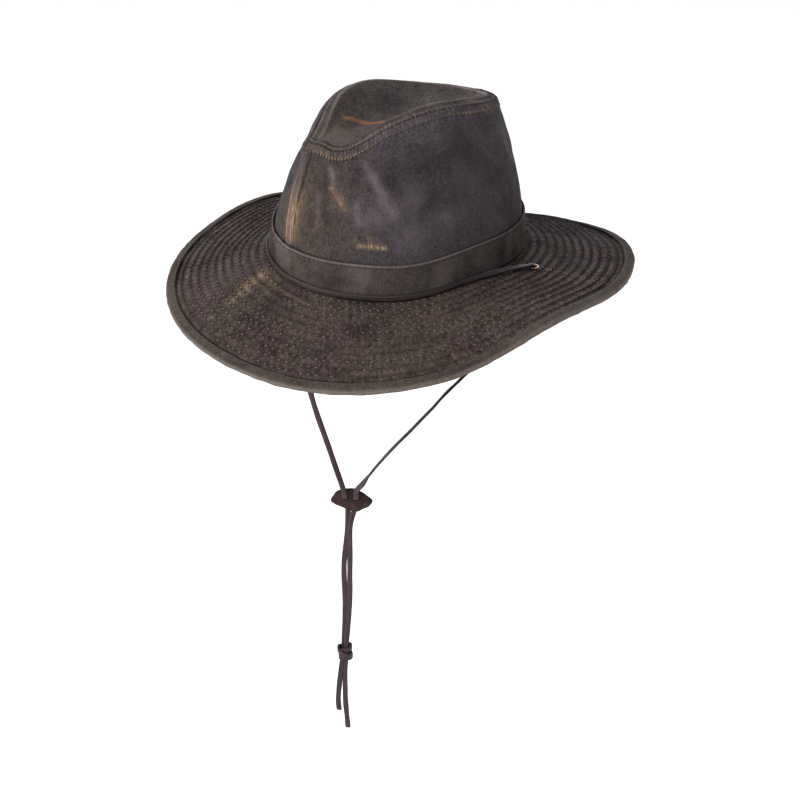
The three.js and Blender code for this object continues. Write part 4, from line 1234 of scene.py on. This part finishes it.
def brim_sheet(lift, sign, seed):
    """One face of the brim, quilted and uneven, and the directions out of it."""
    flat = brim_point(turns[None], across[:, None], lift)
    ways = grid_normals(flat) * sign
    puff, dip, inside = quilting(across[:, None], 0.65 + 0.95 * beside_front)
    count = np.round(brim_arc[:, -1] / BRIM_STITCH)[:, None]
    shift = np.random.default_rng(seed).uniform(0, 1, BRIM_ROWS + 2)
    row = np.clip(((across - BRIM_ROW_FIRST) / BRIM_ROW_PITCH).round().astype(int), 0, BRIM_ROWS)[:, None]
    ripple = np.cos(2 * math.pi * (turns[None] / 360 * count + shift[row]))
    body = 0.55 * swell(flat, seed + 1, 55) + 0.22 * swell(flat, seed + 2, 20)
    place = [brim_arc[:, :-1], across[:, None] * 0.25 + 0 * body, 0 * body]
    crumple = 0.16 * swell(np.stack(place, -1), seed + 3, 7)
    relief = puff - 0.12 * dip + 0.12 * ripple * inside
    relief += (body + crumple * inside) * level(across[:, None] / 20)
    edge = level((outer_edge - across[:, None]) / 6)
    return flat + ways * (relief * edge)[..., None], ways


top, top_ways = brim_sheet(0.0, 1, 41)
under, under_ways = brim_sheet(-BRIM_THICKNESS, -1, 51)
brim_wear = np.maximum(marks(flat_top, BRIM_PATCHES), 0.3 * level(swell(top, 61, 34) - 0.7))
ridge, _, quilted = quilting(across[:, None], 1.0)
brim_wear = np.maximum(brim_wear, lines(flat_top, BRIM_LINES) * (0.3 + 0.7 * ridge))
brim_pucker = ridge * (0.4 + 0.6 * beside_front)
from_row = np.abs((across[:, None] - BRIM_ROW_FIRST) / BRIM_ROW_PITCH)
from_row = np.abs(from_row - np.round(from_row)) * BRIM_ROW_PITCH
# Painted shade in the grooves along the rows, strongest at the sides and the back, at the binding's inner
# edge and where the brim meets the band.
brim_shade = (0.35 + 0.65 * beside_front) * bell(from_row, 0.75 + 0.25 * beside_front)
brim_shade = np.maximum(brim_shade, 0.3 * beside_front * bell(from_row, 2.0)) * quilted
for other in (0.9 * bell(across[:, None] - (BRIM_WIDTH - BINDING_WIDTH - 0.2), 0.9),
              0.8 * level(1 - across[:, None] / 2.5)):
    brim_shade = np.maximum(brim_shade, other)
# Painted highlights on the crests of the channels at the sides and the back.
brim_pale = 0.36 * ridge ** 3 * beside_front * level(0.6 + 0.6 * swell(top, 63, 30))
brim_warm = level(0.5 + 0.45 * swell(top, 62, 36)) * (0.9 - 0.6 * beside_front)
brim_piece = sheet_mesh(
    "brim_cloth_sheet", top, under, thinned(len(across), 2), BRIM_CLOTH,
    joined(brim_arc[40:41], across[:, None]),
    {"wear": 0.15, "pucker": 1, "dark": 0.8, "warm": 1, "pale": 1},
    wear=brim_wear, rust=0 * brim_wear, pucker=brim_pucker, dark=brim_shade, warm=brim_warm, pale=brim_pale)
finish_piece(brim_piece, "brim_cloth", "brim")


def brim_thread_depth(points):
    """Threads of the sides and the back lie deep; painted shade darkens them."""
    turn = compass(points)
    return -0.9 * level(np.where(turn > 0, (turn - 60) / 50, (-8 - turn) / 30))


def brim_thread_wear_and_shade(points):
    """Threads on the worn lines are pale; the others get the painted shade of the sides and the back."""
    worn = 0.8 * lines(points, BRIM_LINES)
    return np.where(worn > 0.15, worn, brim_thread_depth(points))


# Loose threads along the worn streak beside the left eyelet: from, to, angle, its slope, lift.
FRAY_FROM, FRAY_TO, FRAY_ANGLE, FRAY_SLOPE, FRAY_LIFT = 15, 69, 117.6, 0.035, 0.75
frayed = np.nonzero((across > FRAY_FROM) & (across < FRAY_TO))[0]
frayed_angles = FRAY_ANGLE - FRAY_SLOPE * (across[frayed] - FRAY_FROM)
columns = np.round(np.interp(frayed_angles, turns, np.arange(BRIM_COLUMNS))).astype(int)
frayed_ways = top_ways[frayed, columns]
frayed_row = (top[frayed, columns] + FRAY_LIFT * frayed_ways, frayed_ways, False, 2.1, same_wear_and_shade(0.6))
frayed_threads = stitch_mesh("brim_frayed_threads", [frayed_row], BRIM_THREAD, 0.4, 1.5, slant=0.6)
finish_piece(frayed_threads, "brim_cloth")
for word, sheet, ways, thread_wear in (("top", top, top_ways, brim_thread_wear_and_shade),
                                       ("under", under, under_ways, brim_thread_depth)):
    rows = []
    for place in row_places:
        k = np.searchsorted(across, place)
        t = (place - across[k - 1]) / (across[k] - across[k - 1])
        line = blend(sheet[k - 1], sheet[k], t)
        way = unit(blend(ways[k - 1], ways[k], t))
        rows.append((line + way * 0.2, way, True, BRIM_STITCH, thread_wear))
    stitching = stitch_mesh(f"brim_stitching_{word}", rows, BRIM_THREAD, 0.42, 0.34)
    finish_piece(stitching, "brim_cloth")


# Binding, band, eyelets, lace


def binding_piece():
    """The folded tape over the edge of the brim, with a row of stitches on each face."""
    edge = BRIM_WIDTH
    cover = BINDING_THICKNESS + GAP
    under = -BRIM_THICKNESS
    rim = [(edge - BINDING_WIDTH, 0.08), (edge - BINDING_WIDTH + 0.15, 0.45), (edge - 7.4, 0.8),
           (edge - 6.9, cover + 0.02), (edge - 6.2, cover - 0.16), (edge - 5.6, cover + 0.08),
           (edge - 4.2, cover + 0.2), (edge - 2.6, cover + 0.08)]
    middle = under / 2
    bow = -under / 2 + cover - 0.1
    for k in range(1, 10):
        a = math.radians(90 - 18 * k)
        rim.append((edge - 1.9 + 1.9 * math.cos(a), middle + bow * math.sin(a)))
    rim += [(x, under - y) for x, y in reversed(rim[1:8])]
    rim += [(edge - BINDING_WIDTH, under - 0.1), (edge - 1.2, under - 0.1), (edge - 1.2, 0.1)]
    rim = np.array(rim)
    wave = brim_point(turns[None], np.full((1, 1), edge), 0.0)[0]
    loop = brim_point(turns[None], rim[:, :1], rim[:, 1:])
    core = brim_point(turns[None], np.full((1, 1), edge - 4), middle)
    uneven = 0.12 * swell(wave, 71, 9) + 0.14 * swell(wave, 72, 30)
    loop += unit(loop - core) * uneven[None, :, None]
    # The cloth of the tape is cut on the bias, so its threads run at 45 degrees.
    a, b = closed_run(wave)[None] * math.sqrt(0.5), run_along(rim)[:, None] * math.sqrt(0.5)
    track = joined(a + b, a - b)
    from_edge = rim[:, :1] - edge
    wear = 0.12 * level(swell(loop, 73, 26)) + 0.15 * bell(from_edge, 0.7)
    values = {
        "wear": wear, "rust": 0 * wear, "pucker": 0.5 * bell(from_edge + 5.6, 1.2) + 0 * wear,
        # Painted highlights along the outer edge and along the fold near the inner edge.
        "pale": 0.5 * bell(from_edge + 0.3, 1.0) + 0.25 * bell(from_edge + 6.9, 0.6) + 0 * wear,
        # Painted shade at the inner edge and along the stitch line.
        "dark": level(0.8 * bell(from_edge + 7.9, 0.5) + 0.5 * bell(from_edge + 6.2, 0.35)) + 0 * wear,
        "warm": level(0.35 + 0.4 * swell(loop, 74, 60)),
    }
    piece = loop_mesh("brim_binding_tape", loop, BINDING_CLOTH, track, **values)
    finish_piece(piece, "binding_cloth", "brim_binding")
    rows = []
    for lift, sign in ((cover - 0.05, 1), (under - cover + 0.05, -1)):
        line, behind = [brim_point(turns, np.full(BRIM_COLUMNS, edge - 6.2), np.full(BRIM_COLUMNS, z))
                        for z in (lift, lift - sign)]
        # These stitches are darkened with painted shade.
        rows.append((line, unit(line - behind), True, 3.1, same_wear_and_shade(-0.6)))
    finish_piece(stitch_mesh("binding_stitching", rows, BRIM_THREAD, 0.26), "binding_cloth")


def band_piece():
    """The band round the foot of the crown, with folded edges, a row of stitches at each."""
    tall = BAND_HEIGHT - BAND_FOOT
    up = np.linspace(0, 1, 30)[:, None] * tall
    top_edge = tall - up
    edge = np.minimum(up, top_edge)
    thick = BAND_THICKNESS + 0.3 * bell(edge - 1.0, 0.9) - 0.25 * bell(edge - 2.5, 0.4)
    thick -= 0.9 * bell(edge, 0.28)
    # It starts at the back, so that its ends meet there.
    ring = np.roll(around_angles, COLUMNS // 2)
    spot = np.broadcast_arrays(ring[None], BAND_FOOT + up)
    flat = beside_wall(*spot, np.full(spot[0].shape, GAP))
    out = unit(beside_wall(*spot, np.full(spot[0].shape, 1 + GAP)) - flat)
    free = level(edge / 5)
    sag = 0.22 * swell(flat, 81, 34) * free + 0.1 * swell(flat, 82, 12) * free
    long_fold = 0.2 * bell(up - 12 - 2.5 * swell(flat, 83, 60), 1.2) * level(swell(flat, 84, 40))
    outside = flat + out * (thick + sag + long_fold)[..., None]
    # Creases and a patch beside the left eyelet, both for painted shade.
    creases = bell(up - 9 - 3 * swell(flat, 86, 50), 0.8) + bell(up - 16 - 2 * swell(flat, 87, 44), 0.6)
    shadow = level(1 - np.abs(ring - 112) / 30) * np.clip(1 + 0.9 * swell(flat, 92, 12), 0, 2)
    nothing = 0 * sag
    piece = sheet_mesh(
        "hat_band_cloth", outside, flat, np.arange(0, len(up), 6), BAND_CLOTH,
        joined(closed_run(flat[10])[None], up), {},
        wear=0.12 * bell(top_edge - 1.1, 0.7) + 0.1 * level(swell(flat, 85, 20)),
        # Painted highlights on the upper lip and in lighter patches of sheen.
        pale=0.6 * bell(top_edge - 1.2, 0.8) + 0.2 * level(swell(flat, 90, 36)),
        rust=nothing, pucker=0.5 * bell(top_edge - 2.6, 1.2) + nothing,
        # Painted shade under the top edge, along the stitch line, in the creases, and a painted shadow
        # beside the left eyelet.
        dark=level(0.75 * bell(top_edge, 0.45) + 0.65 * bell(top_edge - 2.5, 0.5)
                   + 0.22 * creases * level(swell(flat, 88, 30)) + 0.3 * shadow),
        warm=level(0.4 + 0.5 * swell(flat, 89, 40)))
    finish_piece(piece, "band_cloth", "hat_band")
    rows = []
    for row_up in (2.5, tall - 2.5):
        k = int(np.argmin(np.abs(up[:, 0] - row_up)))
        # These stitches are darkened with painted shade.
        rows.append((outside[k] + out[k] * 0.1, out[k], True, 2.9, same_wear_and_shade(-0.75)))
    finish_piece(stitch_mesh("band_stitching", rows, BRIM_THREAD, 0.26), "band_cloth")


def eyelet_piece(side, word):
    """A ring through the brim, with a rolled flange on both faces."""
    middle, up = eyelet_frame(side)
    hole, barrel, flange = EYELET_HOLE / 2, EYELET_BARREL / 2, EYELET_FLANGE / 2
    top = BRIM_THICKNESS / 2 + GAP
    profile = [(barrel, -top), (barrel, top)]
    for a in np.radians(np.linspace(-90, 90, 5)):
        profile.append((flange - 0.3 + 0.3 * math.cos(a), top + FLANGE_THICKNESS / 2 * (1 + math.sin(a))))
    for a in np.radians(np.linspace(90, 180, 5)):
        profile.append((hole + 0.5 + 0.5 * math.cos(a), top + FLANGE_THICKNESS * math.sin(a)))
    profile += [(x, -z) for x, z in reversed(profile[2:])]
    profile = np.array(profile)
    ring = np.linspace(0, 2 * math.pi, 48, endpoint=False)[:, None]
    u = unit(np.cross(up, [0, 1.0, 0]))
    spokes = np.cos(ring) * u + np.sin(ring) * np.cross(up, u)
    loop = middle + profile[:, 0, None, None] * spokes + profile[:, 1, None, None] * up
    finish_piece(loop_mesh(f"eyelet_ring_{word}", loop, EYELET_METAL), "eyelet_metal", f"eyelet_{word}")


def crown_lace_stops():
    """Stops of the lace that lies round the foot of the band and goes into both eyelets."""
    away = GAP + BAND_THICKNESS + GAP + LACE_THICKNESS / 2
    rise = BAND_FOOT + LACE_WIDTH / 2
    leave = 82.0

    def on_band(angle):
        return beside_wall(np.array(angle), np.array(rise), np.array(away))

    def end(side):
        middle, up = eyelet_frame(side)
        to_band = unit((on_band(side * leave) - middle) * (1, 1, 0))
        flange_top = BRIM_THICKNESS / 2 + GAP + FLANGE_THICKNESS
        clear = flange_top + GAP + LACE_THICKNESS / 2
        flat = np.array([-to_band[1], to_band[0], 0])
        rise_and_bend = ((0, GAP / 2), (0, BRIM_THICKNESS / 2), (0.5, flange_top + 0.8),
                         (2.4, clear + 0.5), (5.4, clear + 0.3))
        stops = [(middle + up * z + to_band * along, flat) for along, z in rise_and_bend]
        for k in range(2, 8):
            share = k / 8
            angle = np.array(side * blend(EYELET_ANGLE, leave, share))
            fx, fy, nx, ny, _ = break_line(angle)
            dx, dy = middle[0] - fx, middle[1] - fy
            out = (dx * to_band[1] - dy * to_band[0]) / (nx * to_band[1] - ny * to_band[0])
            lift = blend(clear - BRIM_THICKNESS / 2, rise, share)
            point = brim_point(angle, np.array(out), max(lift, LACE_WIDTH / 2 + GAP))
            stops.append((point, blend(flat, -UPRIGHT * side, share)))
        return stops

    stops = end(1)
    for angle in [leave, *np.arange(77, -78, -4.5), -leave]:
        stops.append((on_band(float(angle)), -UPRIGHT))
    stops += [(p, -w) for p, w in reversed(end(-1))]
    return np.array([p for p, _ in stops]), np.array([w for _, w in stops])


binding_piece()
band_piece()
for side, word in ((1, "left"), (-1, "right")):
    eyelet_piece(side, word)
crown_lace = lace_mesh("crown_lace_strip", *crown_lace_stops(), LACE_LEATHER, seed=5)[0]
finish_piece(crown_lace, "lace_leather", "crown_lace")
